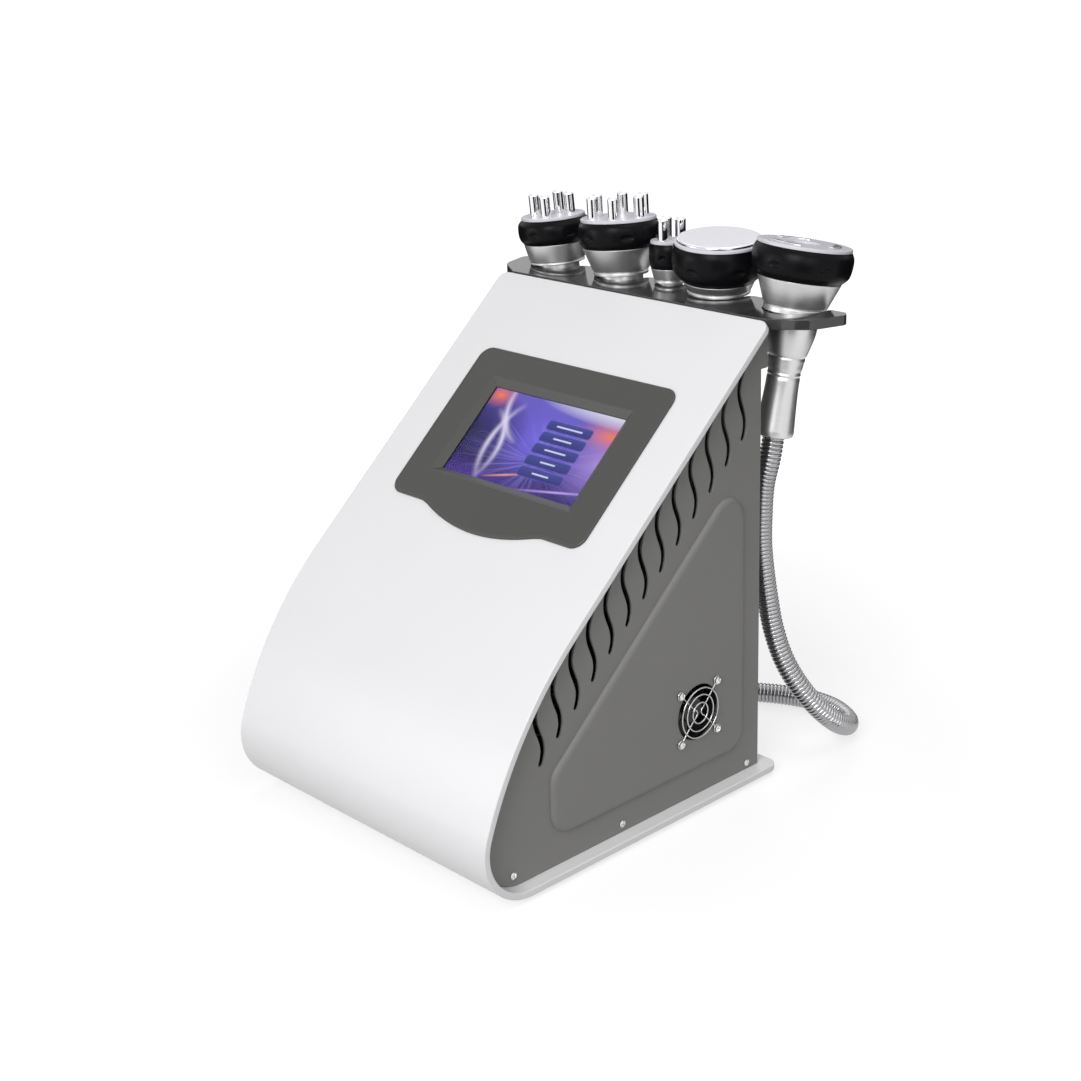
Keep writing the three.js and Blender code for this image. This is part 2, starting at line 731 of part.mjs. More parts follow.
// Guard: rings on two bent wires, which end in loops round the screws
const wireZ = FACE_OUT + FIT + GUARD_WIRE;
const ringZ = wireZ + GUARD_WIRE * 1.6;
const torus = (radius, z, segments) =>
  new THREE.TorusGeometry(radius, GUARD_WIRE, 4, segments).translate(0, 0, z);
const loopEdge = FAN_PITCH / 2 - GUARD_LOOP * cos(PI / 4);
const wireCurve = new THREE.CatmullRomCurve3([
  new THREE.Vector3(-loopEdge, loopEdge, wireZ),
  new THREE.Vector3(-GUARD_BEND, GUARD_APEX + GUARD_BEND, wireZ),
  new THREE.Vector3(0, GUARD_APEX, wireZ),
  new THREE.Vector3(GUARD_BEND, GUARD_APEX + GUARD_BEND, wireZ),
  new THREE.Vector3(loopEdge, loopEdge, wireZ),
]);
const wireShape = outline(arc(0, 0, GUARD_WIRE, 0, 2 * PI, WIRE_SIDES).slice(1));
const wireOptions = { steps: WIRE_STEPS, extrudePath: wireCurve, bevelEnabled: false };
const wire = new THREE.ExtrudeGeometry(wireShape, wireOptions);
const guard = joined(
  ...GUARD_RINGS.map((radius) => torus(radius, ringZ, radius < GUARD_RINGS[1] ? SMALL_ROUND : ROUND)),
  wire,
  wire.clone().rotateZ(PI),
  ...fanCorners.map(([x, y]) => at(torus(GUARD_LOOP, wireZ, 8), x, y, 0)),
);
mesh("fan_guard", guard, CHROME, fan);

function screw(shank, segments = SMALL_ROUND) {
  return turned([
    [0, -shank],
    [SCREW, -shank],
    [SCREW, 0],
    [SCREW_HEAD, 0],
    [SCREW_HEAD, SCREW_HEAD_HEIGHT * 0.4],
    [SCREW_HEAD * 0.6, SCREW_HEAD_HEIGHT],
    [0, SCREW_HEAD_HEIGHT],
  ], segments);
}
const loopTop = wireZ + GUARD_WIRE + FIT;
fanCorners.forEach(([x, y], i) => {
  const piece = mesh(`guard_screw_${i + 1}`, screw(loopTop + SCREW_REACH, 8), STEEL, fan);
  piece.position.set(x, y, loopTop);
});
PANEL_SCREWS.forEach(([back, up], i) => {
  for (const [side, sign] of Object.entries({ left: -1, right: 1 })) {
    const piece = mesh(`panel_screw_${side}_${i + 1}`, screw(PANEL + RAIL, 8), STEEL, machine);
    piece.position.set(sign * (SIDE_X + FIT), -back, BASE_TOP + up);
    piece.rotation.y = (sign * PI) / 2;
  }
});

// Cross rail under the shelf: a channel that opens to the front
const railFront = slopeY(panelTop, PANEL_DEPTH + SHEET);
const crossRail = outline([
  [RAIL_STEP, railFoot],
  [RAIL_STEP, panelTop],
  [railFront, panelTop],
  [railFront, panelTop - CROSS_RAIL],
  [RAIL_STEP - CROSS_RAIL, panelTop - CROSS_RAIL],
  [RAIL_STEP - CROSS_RAIL, railFoot + CROSS_RAIL],
  [-REAR_PANEL, railFoot + CROSS_RAIL],
  [-REAR_PANEL, railFoot],
]);
mesh("shelf_rail", across(crossRail, -INNER_X, 2 * INNER_X), DARK, machine);

// Rear panel and its fittings. The fittings share a frame whose z points to the rear, from
// the panel's outer face, and whose x points to the right as seen from behind.
const rear = new THREE.Group();
rear.rotation.set(-PI / 2, PI, 0, "YXZ");
rear.updateMatrix();
machine.add(rear);
const rearFoot = BASE_TOP + FIT;
const rearHeight = railFoot - FIT - rearFoot;
const inletZ = BASE_TOP + INLET_Z;
const rectangle = ([halfX, halfY], x = 0, y = 0) => outline([
  [x - halfX, y - halfY],
  [x + halfX, y - halfY],
  [x + halfX, y + halfY],
  [x - halfX, y + halfY],
]);
const grown = ([a, b]) => [a + FIT, b + FIT];
const sockets = ["quad", "hexa", "tripolar", "cavitation", "vacuum"].map((name, i) => ({
  name,
  x: (i - 2) * SOCKET_PITCH,
  scale: name === "vacuum" ? VACUUM_SCALE : 1,
}));
const drillFoot = -REAR_PANEL - OVERRUN;
const drillLength = REAR_PANEL + 2 * OVERRUN;
const rearTools = [
  plate(rectangle(grown(INLET_BODY), -INLET_X, inletZ), drillFoot, drillLength),
  ...sockets.map(({ x, scale }) =>
    at(cylinder(SOCKET_BARREL * scale + FIT, drillFoot, drillLength, ROUND), x, SOCKET_Z, 0),
  ),
].map((tool) => tool.applyMatrix4(rear.matrix));
const rearPlate = box(2 * INNER_X, REAR_PANEL, rearHeight, 0, -REAR_PANEL / 2, rearFoot);
mesh("rear_panel", cut(rearPlate, ...rearTools), GREY, machine);

// Power inlet with the well of its rocker switch
const inlet = joined(
  plate(rectangle(INLET_HALF, -INLET_X, inletZ), FIT, INLET_FLANGE),
  plate(rectangle(INLET_BODY, -INLET_X, inletZ), -INLET_DEPTH, INLET_DEPTH + INLET_FLANGE),
);
const inletFace = FIT + INLET_FLANGE;
const plugFoot = inletFace - PLUG_DEPTH;
const rockerFoot = inletFace - ROCKER_DEPTH;
const plugWell = plate(
  rectangle(PLUG_HALF, -INLET_X, inletZ - PLUG_DROP),
  plugFoot,
  PLUG_DEPTH + OVERRUN,
);
const rockerWell = plate(
  rectangle(grown(ROCKER_HALF), -INLET_X, inletZ + ROCKER_RISE),
  rockerFoot,
  ROCKER_DEPTH + OVERRUN,
);
const contacts = [-BLADE_PITCH, 0, BLADE_PITCH].map((x) => {
  const blank = rectangle(BLADE_HALF, -INLET_X + x, inletZ - PLUG_DROP);
  return plate(blank, plugFoot - OVERRUN, BLADE_REACH + OVERRUN);
});
mesh("power_inlet", joined(cut(inlet, plugWell, rockerWell), ...contacts), BLACK, rear);
const rockerReach = ROCKER_HALF[1];
const rockerSide = outline([
  [-rockerReach, ROCKER_PROUD],
  [-rockerReach + RUNNING, -RUNNING],
  [0, -ROCKER_DEPTH + 2 * RUNNING],
  [rockerReach - RUNNING, -RUNNING],
  [rockerReach, ROCKER_PROUD],
  [0, ROCKER_PROUD / 4],
]);
const rockerBody = across(rockerSide, -ROCKER_HALF[0], 2 * ROCKER_HALF[0]).translate(0, 0, ROCKER_PIVOT);
const rocker = mesh("rocker_switch", rockerBody, BLACK, rear);
rocker.position.set(-INLET_X, inletZ + ROCKER_RISE, inletFace - ROCKER_PIVOT);
rocker.rotation.x = ROCKER_TILT;

// Handpiece sockets
for (const { name, x, scale } of sockets) {
  const ring = SOCKET_RADIUS * scale;
  const bore = SOCKET_BORE * scale;
  const profile = [
    [0, -REAR_PANEL - SOCKET_REACH],
    [SOCKET_BARREL * scale, -REAR_PANEL - SOCKET_REACH],
    [SOCKET_BARREL * scale, FIT],
    [ring, FIT],
    [ring, SOCKET_FLANGE],
    [SOCKET_BARREL * scale, SOCKET_FLANGE],
    [SOCKET_BARREL * scale, SOCKET_PROUD],
    [bore, SOCKET_PROUD],
    [bore, SOCKET_PROUD - SOCKET_DEPTH],
    [0, SOCKET_PROUD - SOCKET_DEPTH],
  ];
  const socket = mesh(`${name}_socket`, turned(profile, 10), STEEL, rear);
  socket.position.set(x, SOCKET_Z, 0);
}

// Shelf, with a notch for each handpiece that opens to the rear
const shelfFront = TOP.y + SHEET * sin(SLOPE) + FIT;
const shelfShape = outline([
  [-WING_X, shelfFront],
  [WING_X, shelfFront],
  [SHOULDER_X, SHOULDER_Y, 4 * SHELF_CORNER],
  [SHELF_HALF, SHELF_REAR - SHELF_CORNER, SHELF_CORNER],
  [SHELF_HALF - SHELF_CORNER, SHELF_REAR],
  [SHELF_CORNER - SHELF_HALF, SHELF_REAR],
  [-SHELF_HALF, SHELF_REAR - SHELF_CORNER, SHELF_CORNER],
  [-SHOULDER_X, SHOULDER_Y, 4 * SHELF_CORNER],
]);
const handpieces = {
  quad: QUAD,
  hexa: HEXA,
  tripolar: TRIPOLAR,
  cavitation: CAVITATION,
  vacuum: VACUUM,
};
const heads = Object.values(handpieces);
const rowX = [0];
HEAD_GAPS.forEach((gap, i) => rowX.push(rowX[i] + heads[i].bulge + gap + heads[i + 1].bulge));
const seats = Object.fromEntries(
  Object.keys(handpieces).map((name, i) => {
    return [name, [rowX[i] - rowX.at(-1) / 2 + ROW_SHIFT, seatShares[name] * SHELF_REAR]];
  }),
);

// A flange rests on the shelf over a notch that passes the neck. A sunk flange fits in its
// notch, and the cone above it leans on the edge.
const tiltOf = ({ waist, lean }) => waist * sin(lean);
const riseOf = (sizes) => sizes.sink ?? sizes.flange + tiltOf(sizes) + FIT;
const leanShare = 0.1; // the notch is open where the cone is lowest, so its sides carry the cone
const coneSlope = ({ coneTop, waist, cone }) => (coneTop - waist) / cone;
function notchRadius(sizes) {
  const { neck, waist, lean, sink } = sizes;
  if (sink) return waist / cos(lean) + coneSlope(sizes) * tiltOf(sizes) * leanShare + FIT;
  return (neck + waist) / 2;
}
function notch(name) {
  const [x, y] = seats[name];
  const radius = notchRadius(handpieces[name]);
  const edge = SHELF_REAR - MOUTH_CHAMFER;
  const mouth = radius + MOUTH_CHAMFER + OVERRUN;
  const shape = outline([
    ...arc(x, y, radius, PI, 2 * PI, 14),
    [x + radius, Math.max(edge, y + RUNNING)],
    [x + mouth, SHELF_REAR + OVERRUN],
    [x - mouth, SHELF_REAR + OVERRUN],
    [x - radius, Math.max(edge, y + RUNNING)],
  ]);
  return plate(shape, SHELF_BOTTOM - OVERRUN, SHELF + 2 * OVERRUN);
}
const shelf = cut(plate(shelfShape, SHELF_BOTTOM, SHELF), ...Object.keys(handpieces).map(notch));
mesh("handpiece_shelf", shelf, SHELF_BLACK, machine);

// Bezel: a plate on the slope with a curved lip, whose window slants down to the glass
const lipShares = [-1, -0.9, -0.7, -0.45, -0.15, 0.15, 0.45, 0.7, 0.9, 1];
const lip = lipShares.map((share) => [LIP_HALF * share, -BEZEL_END - LIP_DROP * (1 - share * share)]);
const bezelShape = outline([
  [-BEZEL_HALF, -BEZEL_START, BEZEL_CORNER],
  [-BEZEL_HALF, -BEZEL_END, BEZEL_CORNER],
  ...lip,
  [BEZEL_HALF, -BEZEL_END, BEZEL_CORNER],
  [BEZEL_HALF, -BEZEL_START, BEZEL_CORNER],
]);
const bezelOptions = bevelled(BEZEL_BEVEL, BEZEL_BEVEL);
const bezelTop = plate(bezelShape, FIT + BEZEL_BEVEL, BEZEL_RISE - 2 * BEZEL_BEVEL, bezelOptions);
const well = screenOpening(GLASS_MARGIN, -SCREEN_WELL, SCREEN_WELL + BEZEL_RISE - BEZEL_BEVEL);
const windowMiddle = -(WINDOW_START + WINDOW_END) / 2;
const windowDepth = BEZEL_RISE + OVERRUN + SCREEN_WELL + OVERRUN;
const slant = (WINDOW_HALF - GLASS_HALF) / (BEZEL_RISE + GLASS_DEPTH);
const windowAt = (height) => (height + GLASS_DEPTH) * slant;
const window3d = new THREE.BufferGeometry();
{
  const low = -SCREEN_WELL - OVERRUN;
  const high = low + windowDepth;
  const corner = (side, end, height) => [
    side * (GLASS_HALF + windowAt(height)),
    windowMiddle + end * ((GLASS_END - GLASS_START) / 2 + windowAt(height)),
    height,
  ];
  const ringAt = (height) => square(1).map(([side, end]) => corner(side, end, height));
  const vertices = [...ringAt(low), ...ringAt(high)].flat();
  const faces = [[0, 2, 1], [0, 3, 2], [4, 5, 6], [4, 6, 7]];
  for (let i = 0; i < 4; i++) {
    const next = (i + 1) % 4;
    faces.push([i, next, next + 4], [i, next + 4, i + 4]);
  }
  window3d.setAttribute("position", new THREE.Float32BufferAttribute(vertices, 3));
  window3d.setIndex(faces.flat());
}
mesh("screen_bezel", cut(joined(bezelTop, well), window3d), DARK, slope);

// Touch glass and the display under it
const glassTop = -SCREEN_WELL - FIT;
mesh("touch_glass", screenOpening(GLASS_MARGIN, glassTop - GLASS, GLASS), CLEAR, slope);
const displayFoot = glassTop - GLASS - FIT - DISPLAY;
mesh("display_panel", screenOpening(GLASS_MARGIN, displayFoot, DISPLAY), SCREEN, slope);

// Handpieces
// The core fills the collar: the handle's plug, with the plate of the electrodes on it
const coreOf = ({ pinCircle, waist, core = waist * 0.8 }) =>
  pinCircle ? pinCircle + PIN_RADIUS + PIN_RIM : core;

function collarProfile(sizes) {
  const { coneTop, cone, bulge, height, face } = sizes;
  const foot = cone + FIT;
  const top = height - FACE - FIT;
  const bore = coreOf(sizes) + FIT;
  const tall = top - foot;
  return [
    [bore, foot],
    [coneTop, foot],
    [coneTop + (bulge - coneTop) * 0.7, foot + tall * 0.2],
    [bulge, foot + tall * 0.52],
    [face + (bulge - face) * 0.75, foot + tall * 0.84],
    [face, top],
    [bore, top],
  ];
}

function dimpled(geometry, { bulge, cone, height }) {
  const [wide, tall, deep] = DIMPLE;
  const middle = (cone + height - FACE) / 2;
  const dimple = new THREE.SphereGeometry(1, 6, 3).scale(deep, wide, tall).translate(bulge, 0, middle);
  const all = Array.from({ length: DIMPLES }, (_, i) => dimple.clone().rotateZ((2 * PI * i) / DIMPLES));
  return cut(geometry, ...all);
}

function handleProfile(sizes) {
  const { waist, flange, neck, cone, coneTop, height, handle, grip } = sizes;
  const plug = coreOf(sizes);
  const plugTop = height - FACE - FIT - ELECTRODE_PLATE - 2 * FIT;
  return [
    [0, -handle],
    [grip * 1.1, -handle],
    [grip * 1.17, -handle + grip * 0.3],
    [grip, -handle * 0.56],
    [grip * 1.08, -handle * 0.42],
    [neck, -handle * 0.18],
    [neck, -flange],
    [waist, -flange],
    [waist, 0],
    [coneTop, cone],
    [plug, cone],
    [plug, plugTop],
    [0, plugTop],
  ];
}

// Pins with domed tips on one plate, which lies under the face
function electrodes(sizes) {
  const { pins, pinCircle, height, spin } = sizes;
  const plateTop = height - FACE - FIT;
  const plateFoot = plateTop - ELECTRODE_PLATE;
  const pin = turned([
    [0, plateFoot],
    [PIN_RADIUS, plateFoot],
    [PIN_RADIUS, height + PIN_LENGTH * 0.86],
    [PIN_RADIUS * 0.72, height + PIN_LENGTH * 0.97],
    [0, height + PIN_LENGTH],
  ], SMALL_ROUND);
  const carrier = cylinder(coreOf(sizes), plateFoot, ELECTRODE_PLATE, ROUND);
  const around = (piece) => Array.from({ length: pins }, (_, i) => {
    const angle = spin + (2 * PI * i) / pins;
    return at(piece, pinCircle * cos(angle), pinCircle * sin(angle), 0);
  });
  return { pieces: joined(carrier, ...around(pin)), around };
}

function faceDisc({ face, height }) {
  const foot = height - FACE;
  return turned([
    [0, foot],
    [face, foot],
    [face, height - FACE * 0.35],
    [face - FACE * 0.35, height],
    [0, height],
  ]);
}

// A handpiece stands in a group at its seat, tilted towards its lean
function handpieceGroup(name) {
  const [x, y] = seats[name];
  const sizes = handpieces[name];
  const group = new THREE.Group();
  const tiltAxis = new THREE.Vector3(-sin(sizes.toward), cos(sizes.toward), 0);
  group.position.set(x, y, TOP.z + riseOf(sizes));
  group.quaternion.setFromAxisAngle(tiltAxis, sizes.lean);
  machine.add(group);
  return group;
}

for (const name of ["quad", "hexa", "tripolar"]) {
  const sizes = handpieces[name];
  const group = handpieceGroup(name);
  const { pieces, around } = electrodes(sizes);
  const holes = around(cylinder(PIN_RADIUS + FIT, sizes.height - FACE - OVERRUN, FACE + 2 * OVERRUN));
  mesh(`${name}_handle`, turned(handleProfile(sizes)), ALUMINIUM, group);
  mesh(`${name}_collar`, dimpled(turned(collarProfile(sizes)), sizes), BLACK, group);
  mesh(`${name}_face`, cut(faceDisc(sizes), ...holes), FACE_WHITE, group);
  mesh(`${name}_pins`, pieces, CHROME, group);
}

// Cavitation head: a polished disc on a stem, in a pale ring
{
  const sizes = CAVITATION;
  const group = handpieceGroup("cavitation");
  const foot = sizes.height - FACE;
  mesh("cavitation_handle", turned(handleProfile(sizes)), ALUMINIUM, group);
  mesh("cavitation_collar", dimpled(turned(collarProfile(sizes)), sizes), BLACK, group);
  mesh("cavitation_ring", turned([
    [sizes.disc + FIT, foot],
    [sizes.face, foot],
    [sizes.face, sizes.height - FACE * 0.4],
    [sizes.disc + FIT, sizes.height],
  ], 24), FACE_WHITE, group);
  mesh("cavitation_disc", turned([
    [0, foot - ELECTRODE_PLATE],
    [sizes.stem, foot - ELECTRODE_PLATE],
    [sizes.stem, foot],
    [sizes.disc, foot],
    [sizes.disc, sizes.height + FACE * 0.5],
    [sizes.disc - FACE * 0.3, sizes.height + FACE * 0.75],
    [0, sizes.height + FACE * 0.75],
  ], 24), CHROME, group);
}

// Vacuum head: a suction port in the middle of the face, and curved electrodes in its slots
const vacuumGroup = handpieceGroup("vacuum");
{
  const sizes = VACUUM;
  const { height, port, slotCircle, slotWidth, slotTurn, electrodeProud } = sizes;
  const bend = (inner, outer, turn, bottom, tall) => plate(outline([
    ...arc(0, 0, outer, -turn / 2, turn / 2, CORNER_STEPS),
    ...arc(0, 0, inner, turn / 2, -turn / 2, CORNER_STEPS),
  ]), bottom, tall);
  const thirds = [0, 1, 2].map((i) => (2 * PI * i) / 3 + PI / 6);
  const inner = slotCircle - slotWidth / 2;
  const outer = slotCircle + slotWidth / 2;
  const ease = FIT / slotCircle;
  const plateTop = height - FACE - FIT;
  const plateFoot = plateTop - ELECTRODE_PLATE;
  const slotFoot = height - FACE - OVERRUN;
  const slotCut = bend(inner - FIT, outer + FIT, slotTurn + 2 * ease, slotFoot, FACE + 2 * OVERRUN);
  const portCut = cylinder(port, plateFoot - OVERRUN, height, 20);
  const strip = bend(inner, outer, slotTurn, plateFoot, height + electrodeProud - plateFoot);
  const carrier = cut(cylinder(outer, plateFoot, ELECTRODE_PLATE, ROUND), portCut);
  mesh("vacuum_handle", turned(handleProfile(sizes)), ALUMINIUM, vacuumGroup);
  mesh("vacuum_collar", dimpled(turned(collarProfile(sizes)), sizes), BLACK, vacuumGroup);
  const slotCuts = thirds.map((turn) => slotCut.clone().rotateZ(turn));
  const strips = thirds.map((turn) => strip.clone().rotateZ(turn));
  mesh("vacuum_face", cut(faceDisc(sizes), portCut, ...slotCuts), FACE_WHITE, vacuumGroup);
  mesh("vacuum_electrodes", joined(carrier, ...strips), CHROME, vacuumGroup);
}

// Inner pieces stand on the base, on their own feet or standoffs
const floorZ = BASE_TOP + FIT;
const [supplyX, supplyY, supplyZ] = SUPPLY;
const supplyLeft = -INNER_X + RAIL + INNER_GAP;
const supplyBack = -INNER_GAP - supplyY;
const supplyMiddle = supplyLeft + supplyX / 2;
const supplyInside = box(
  supplyX - 2 * SUPPLY_WALL,
  supplyY + OVERRUN,
  supplyZ - SUPPLY_WALL,
  supplyMiddle,
  supplyBack + supplyY / 2 + SUPPLY_WALL,
  floorZ + SUPPLY_WALL,
);
const supplyBox = cut(
  box(supplyX, supplyY, supplyZ, supplyMiddle, supplyBack + supplyY / 2, floorZ),
  supplyInside,
);
mesh("power_supply", supplyBox, GALVANISED, machine);

const [driverX, driverY, driverZ] = DRIVER;
const driverLeft = supplyLeft + supplyX + INNER_GAP;
const finPitch = driverX / (DRIVER_FINS - 1 + DRIVER_FIN / driverX) - DRIVER_FIN / DRIVER_FINS;
const driverMiddle = supplyBack + driverY / 2;
const finLeft = driverLeft + DRIVER_FIN / 2;
const driverFins = Array.from({ length: DRIVER_FINS }, (_, i) =>
  box(DRIVER_FIN, driverY, driverZ, finLeft + i * finPitch, driverMiddle, floorZ),
);
const baseWidth = DRIVER_FIN + (DRIVER_FINS - 1) * finPitch;
const driverBase = box(
  baseWidth,
  driverY,
  driverZ / 3,
  driverLeft + baseWidth / 2,
  driverMiddle,
  floorZ,
);
mesh("ultrasonic_driver", joined(driverBase, ...driverFins), GALVANISED, machine);

// The main board stands off the back of the display
function board([width, depth]) {
  const leg = cylinder(STANDOFF_RADIUS, 0, STANDOFF + BOARD / 2);
  const legX = width / 2 - 2 * STANDOFF_RADIUS;
  const legY = depth / 2 - 2 * STANDOFF_RADIUS;
  const legs = square(1).map(([x, y]) => at(leg, x * legX, y * legY, 0));
  const chips = [
    box(width / 6, depth / 4, 4 * BOARD, -width / 5, 0, STANDOFF + BOARD / 2),
    box(width / 8, depth / 3, 6 * BOARD, width / 4, depth / 8, STANDOFF + BOARD / 2),
  ];
  return joined(plate(rectangle([width / 2, depth / 2]), STANDOFF, BOARD), ...legs, ...chips);
}
const displayBack = glassTop - GLASS - FIT - DISPLAY;
const mainBoard = mesh("main_board", board(BOARD_SIZE), GREEN, slope);
mainBoard.position.set(0, windowMiddle, displayBack - FIT);
mainBoard.rotation.y = PI;

// Vacuum pump: a motor lying on its side with a square head
const pumpX = driverLeft + PUMP_RADIUS;
const pumpY = supplyBack - INNER_GAP - PUMP_LENGTH;
const pumpMotor = cylinder(PUMP_RADIUS * 0.85, 0, PUMP_LENGTH)
  .rotateX(-PI / 2)
  .translate(0, 0, PUMP_RADIUS);
const pumpHead = box(2 * PUMP_RADIUS, PUMP_HEAD, 2 * PUMP_RADIUS, 0, PUMP_HEAD / 2, 0);
const pump = mesh("vacuum_pump", joined(pumpMotor, pumpHead), GALVANISED, machine);
pump.position.set(pumpX, pumpY, floorZ);

// Hose: a ribbed tube with its bore, from the handle's end to the coil
const section = (sides, radius) => arc(0, 0, radius, 0, 2 * PI, sides).slice(0, -1);
vacuumGroup.updateMatrix();
const hoseStart = new THREE.Vector3(0, 0, -VACUUM.handle - FIT).applyMatrix4(vacuumGroup.matrix);
const hoseDown = new THREE.Vector3(0, 0, -1).applyQuaternion(vacuumGroup.quaternion);
const diameter = 2 * HOSE_RADIUS;
const coilLevel = new THREE.Vector3(-1, 0, 0);
const coilStart = new THREE.Vector3(COIL_X + diameter, COIL_Y - COIL_RADIUS, COIL_Z);
const hoseEnd = coilStart.clone().addScaledVector(coilLevel, -FIT);
const hoseCurve = new THREE.CatmullRomCurve3([
  hoseStart,
  hoseStart.clone().addScaledVector(hoseDown, diameter),
  ...HOSE_ROUTE.map((point) => new THREE.Vector3(...point)),
  hoseEnd.clone().addScaledVector(coilLevel, -diameter),
  hoseEnd,
]);
hoseCurve.arcLengthDivisions = 2000;

function ribbedTube(curve) {
  const ribs = Math.min(200, Math.round(curve.getLength() / RIB_PITCH));
  const frames = curve.computeFrenetFrames(2 * ribs);
  const vertices = [];
  const faces = [];
  const ring = (station, radius) => {
    const centre = curve.getPointAt(station / (2 * ribs));
    const first = vertices.length / 3;
    for (const [x, y] of section(HOSE_SIDES, radius)) {
      const point = centre.clone();
      point.addScaledVector(frames.normals[station], x);
      point.addScaledVector(frames.binormals[station], y);
      vertices.push(point.x, point.y, point.z);
    }
    return first;
  };
  const bridge = (a, b) => {
    for (let i = 0; i < HOSE_SIDES; i++) {
      const next = (i + 1) % HOSE_SIDES;
      faces.push(a + i, a + next, b + next, a + i, b + next, b + i);
    }
  };
  const stations = Array.from({ length: 2 * ribs + 1 }, (_, i) => i);
  const outer = stations.map((i) => ring(i, i % 2 ? HOSE_RADIUS : HOSE_VALLEY));
  const inner = stations
    .filter((i) => i % BORE_STRIDE === 0 || i === 2 * ribs)
    .map((i) => ring(i, HOSE_BORE));
  outer.slice(1).forEach((next, i) => bridge(outer[i], next));
  inner.slice(1).forEach((next, i) => bridge(next, inner[i]));
  bridge(inner[0], outer[0]);
  bridge(outer.at(-1), inner.at(-1));
  const geometry = new THREE.BufferGeometry();
  geometry.setAttribute("position", new THREE.Float32BufferAttribute(vertices, 3));
  geometry.setIndex(faces);
  geometry.computeVertexNormals();
  return geometry;
}
mesh("hose_free", ribbedTube(hoseCurve), HOSE_GREY, machine);

// Coil: one tube that spirals in on the floor, then draws in to its plug
function coilPoint(turns) {
  const late = Math.max(0, turns - COIL_CLOSE);
  const radius = COIL_RADIUS - COIL_PITCH * turns - COIL_DRAW * late * late;
  const angle = -PI / 2 - 2 * PI * turns;
  const climb = THREE.MathUtils.smoothstep(turns, COIL_CLOSE, COIL_TURNS);
  const z = COIL_Z + (COIL_END_Z - COIL_Z) * climb;
  return new THREE.Vector3(COIL_X + radius * cos(angle), COIL_Y + radius * sin(angle), z);
}
const loopSteps = Math.round(COIL_TURN_STEPS * COIL_TURNS);
const loop = Array.from({ length: loopSteps + 1 }, (_, i) => coilPoint((COIL_TURNS * i) / loopSteps));
const plugWay = loop.at(-1).clone().sub(loop.at(-2)).setZ(0).normalize();
const coilEnd = loop.at(-1).clone().addScaledVector(plugWay, diameter);
const coilCurve = new THREE.CatmullRomCurve3([coilStart, ...loop, coilEnd]);
coilCurve.arcLengthDivisions = 1000;
const coilShape = outline(section(COIL_SIDES, HOSE_RADIUS));
const coilOptions = { steps: loopSteps + 2, extrudePath: coilCurve, bevelEnabled: false };
const coil = new THREE.ExtrudeGeometry(coilShape, coilOptions);
mesh("hose_coil", coil, HOSE_GREY, machine);

function selfGap(curve, radius) {
  const points = curve.getSpacedPoints(400);
  const step = curve.getLength() / 400;
  const apart = Math.ceil((4 * radius) / step);
  let least = Infinity;
  points.forEach((a, i) => {
    for (const b of points.slice(i + apart)) least = Math.min(least, a.distanceTo(b));
  });
  return least - 2 * radius;
}
console.log(`least gap of the coil to itself: ${selfGap(coilCurve, HOSE_RADIUS).toFixed(2)} mm`);
console.log(`hose: ${(hoseCurve.getLength() + coilCurve.getLength()).toFixed(0)} mm`);

// Plug of the hose, which lies inside the coil
const plugProfile = [
  [0, 0],
  [HOSE_RADIUS, 0],
  [PLUG_RADIUS, PLUG_LENGTH * 0.2],
  [PLUG_RADIUS, PLUG_LENGTH * 0.7],
  [PLUG_RADIUS * 0.85, PLUG_LENGTH * 0.74],
  [PLUG_RADIUS * 0.85, PLUG_LENGTH * 0.9],
  [PLUG_NOSE, PLUG_LENGTH * 0.9],
  [PLUG_NOSE, PLUG_LENGTH],
  [0, PLUG_LENGTH],
];
const plug = mesh("hose_plug", turned(plugProfile, 12), STEEL, machine);
plug.position.copy(coilEnd).addScaledVector(plugWay, FIT);
plug.quaternion.setFromUnitVectors(new THREE.Vector3(0, 0, 1), plugWay);

// The origin is on the floor, under the middle of the machine without its hose
machine.updateMatrixWorld(true);
const room = new THREE.Box3();
machine.traverse((piece) => {
  if (piece.isMesh && !piece.name.startsWith("hose_")) room.expandByObject(piece, true);
});
machine.position.y = -(room.min.y + room.max.y) / 2;

export default machine;
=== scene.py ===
"""Looks of the tabletop slimming machine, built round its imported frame.

The frame is in metres, +Z is up and the screen faces -Y. Sizes here are in millimetres,
as in the source of the solids, and become metres when a piece is made.
"""

from math import atan2, cos, pi, radians, sin, tan
from types import SimpleNamespace

import bmesh
import bpy
from mathutils import Matrix, Vector
from mathutils.geometry import tessellate_polygon


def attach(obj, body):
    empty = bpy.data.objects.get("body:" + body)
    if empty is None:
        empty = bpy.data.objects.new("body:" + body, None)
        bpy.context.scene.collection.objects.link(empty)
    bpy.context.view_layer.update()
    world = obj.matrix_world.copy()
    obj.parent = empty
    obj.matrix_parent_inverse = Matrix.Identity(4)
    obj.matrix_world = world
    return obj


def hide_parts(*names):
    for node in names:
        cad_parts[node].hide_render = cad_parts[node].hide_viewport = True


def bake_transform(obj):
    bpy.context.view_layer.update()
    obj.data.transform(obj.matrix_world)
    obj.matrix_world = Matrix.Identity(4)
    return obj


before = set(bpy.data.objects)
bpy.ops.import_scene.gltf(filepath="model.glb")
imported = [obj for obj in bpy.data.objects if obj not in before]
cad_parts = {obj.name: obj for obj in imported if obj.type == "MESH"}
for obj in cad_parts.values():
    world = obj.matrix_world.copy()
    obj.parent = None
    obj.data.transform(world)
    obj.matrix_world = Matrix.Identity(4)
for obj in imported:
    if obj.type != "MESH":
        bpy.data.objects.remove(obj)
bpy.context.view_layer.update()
MM = 0.001

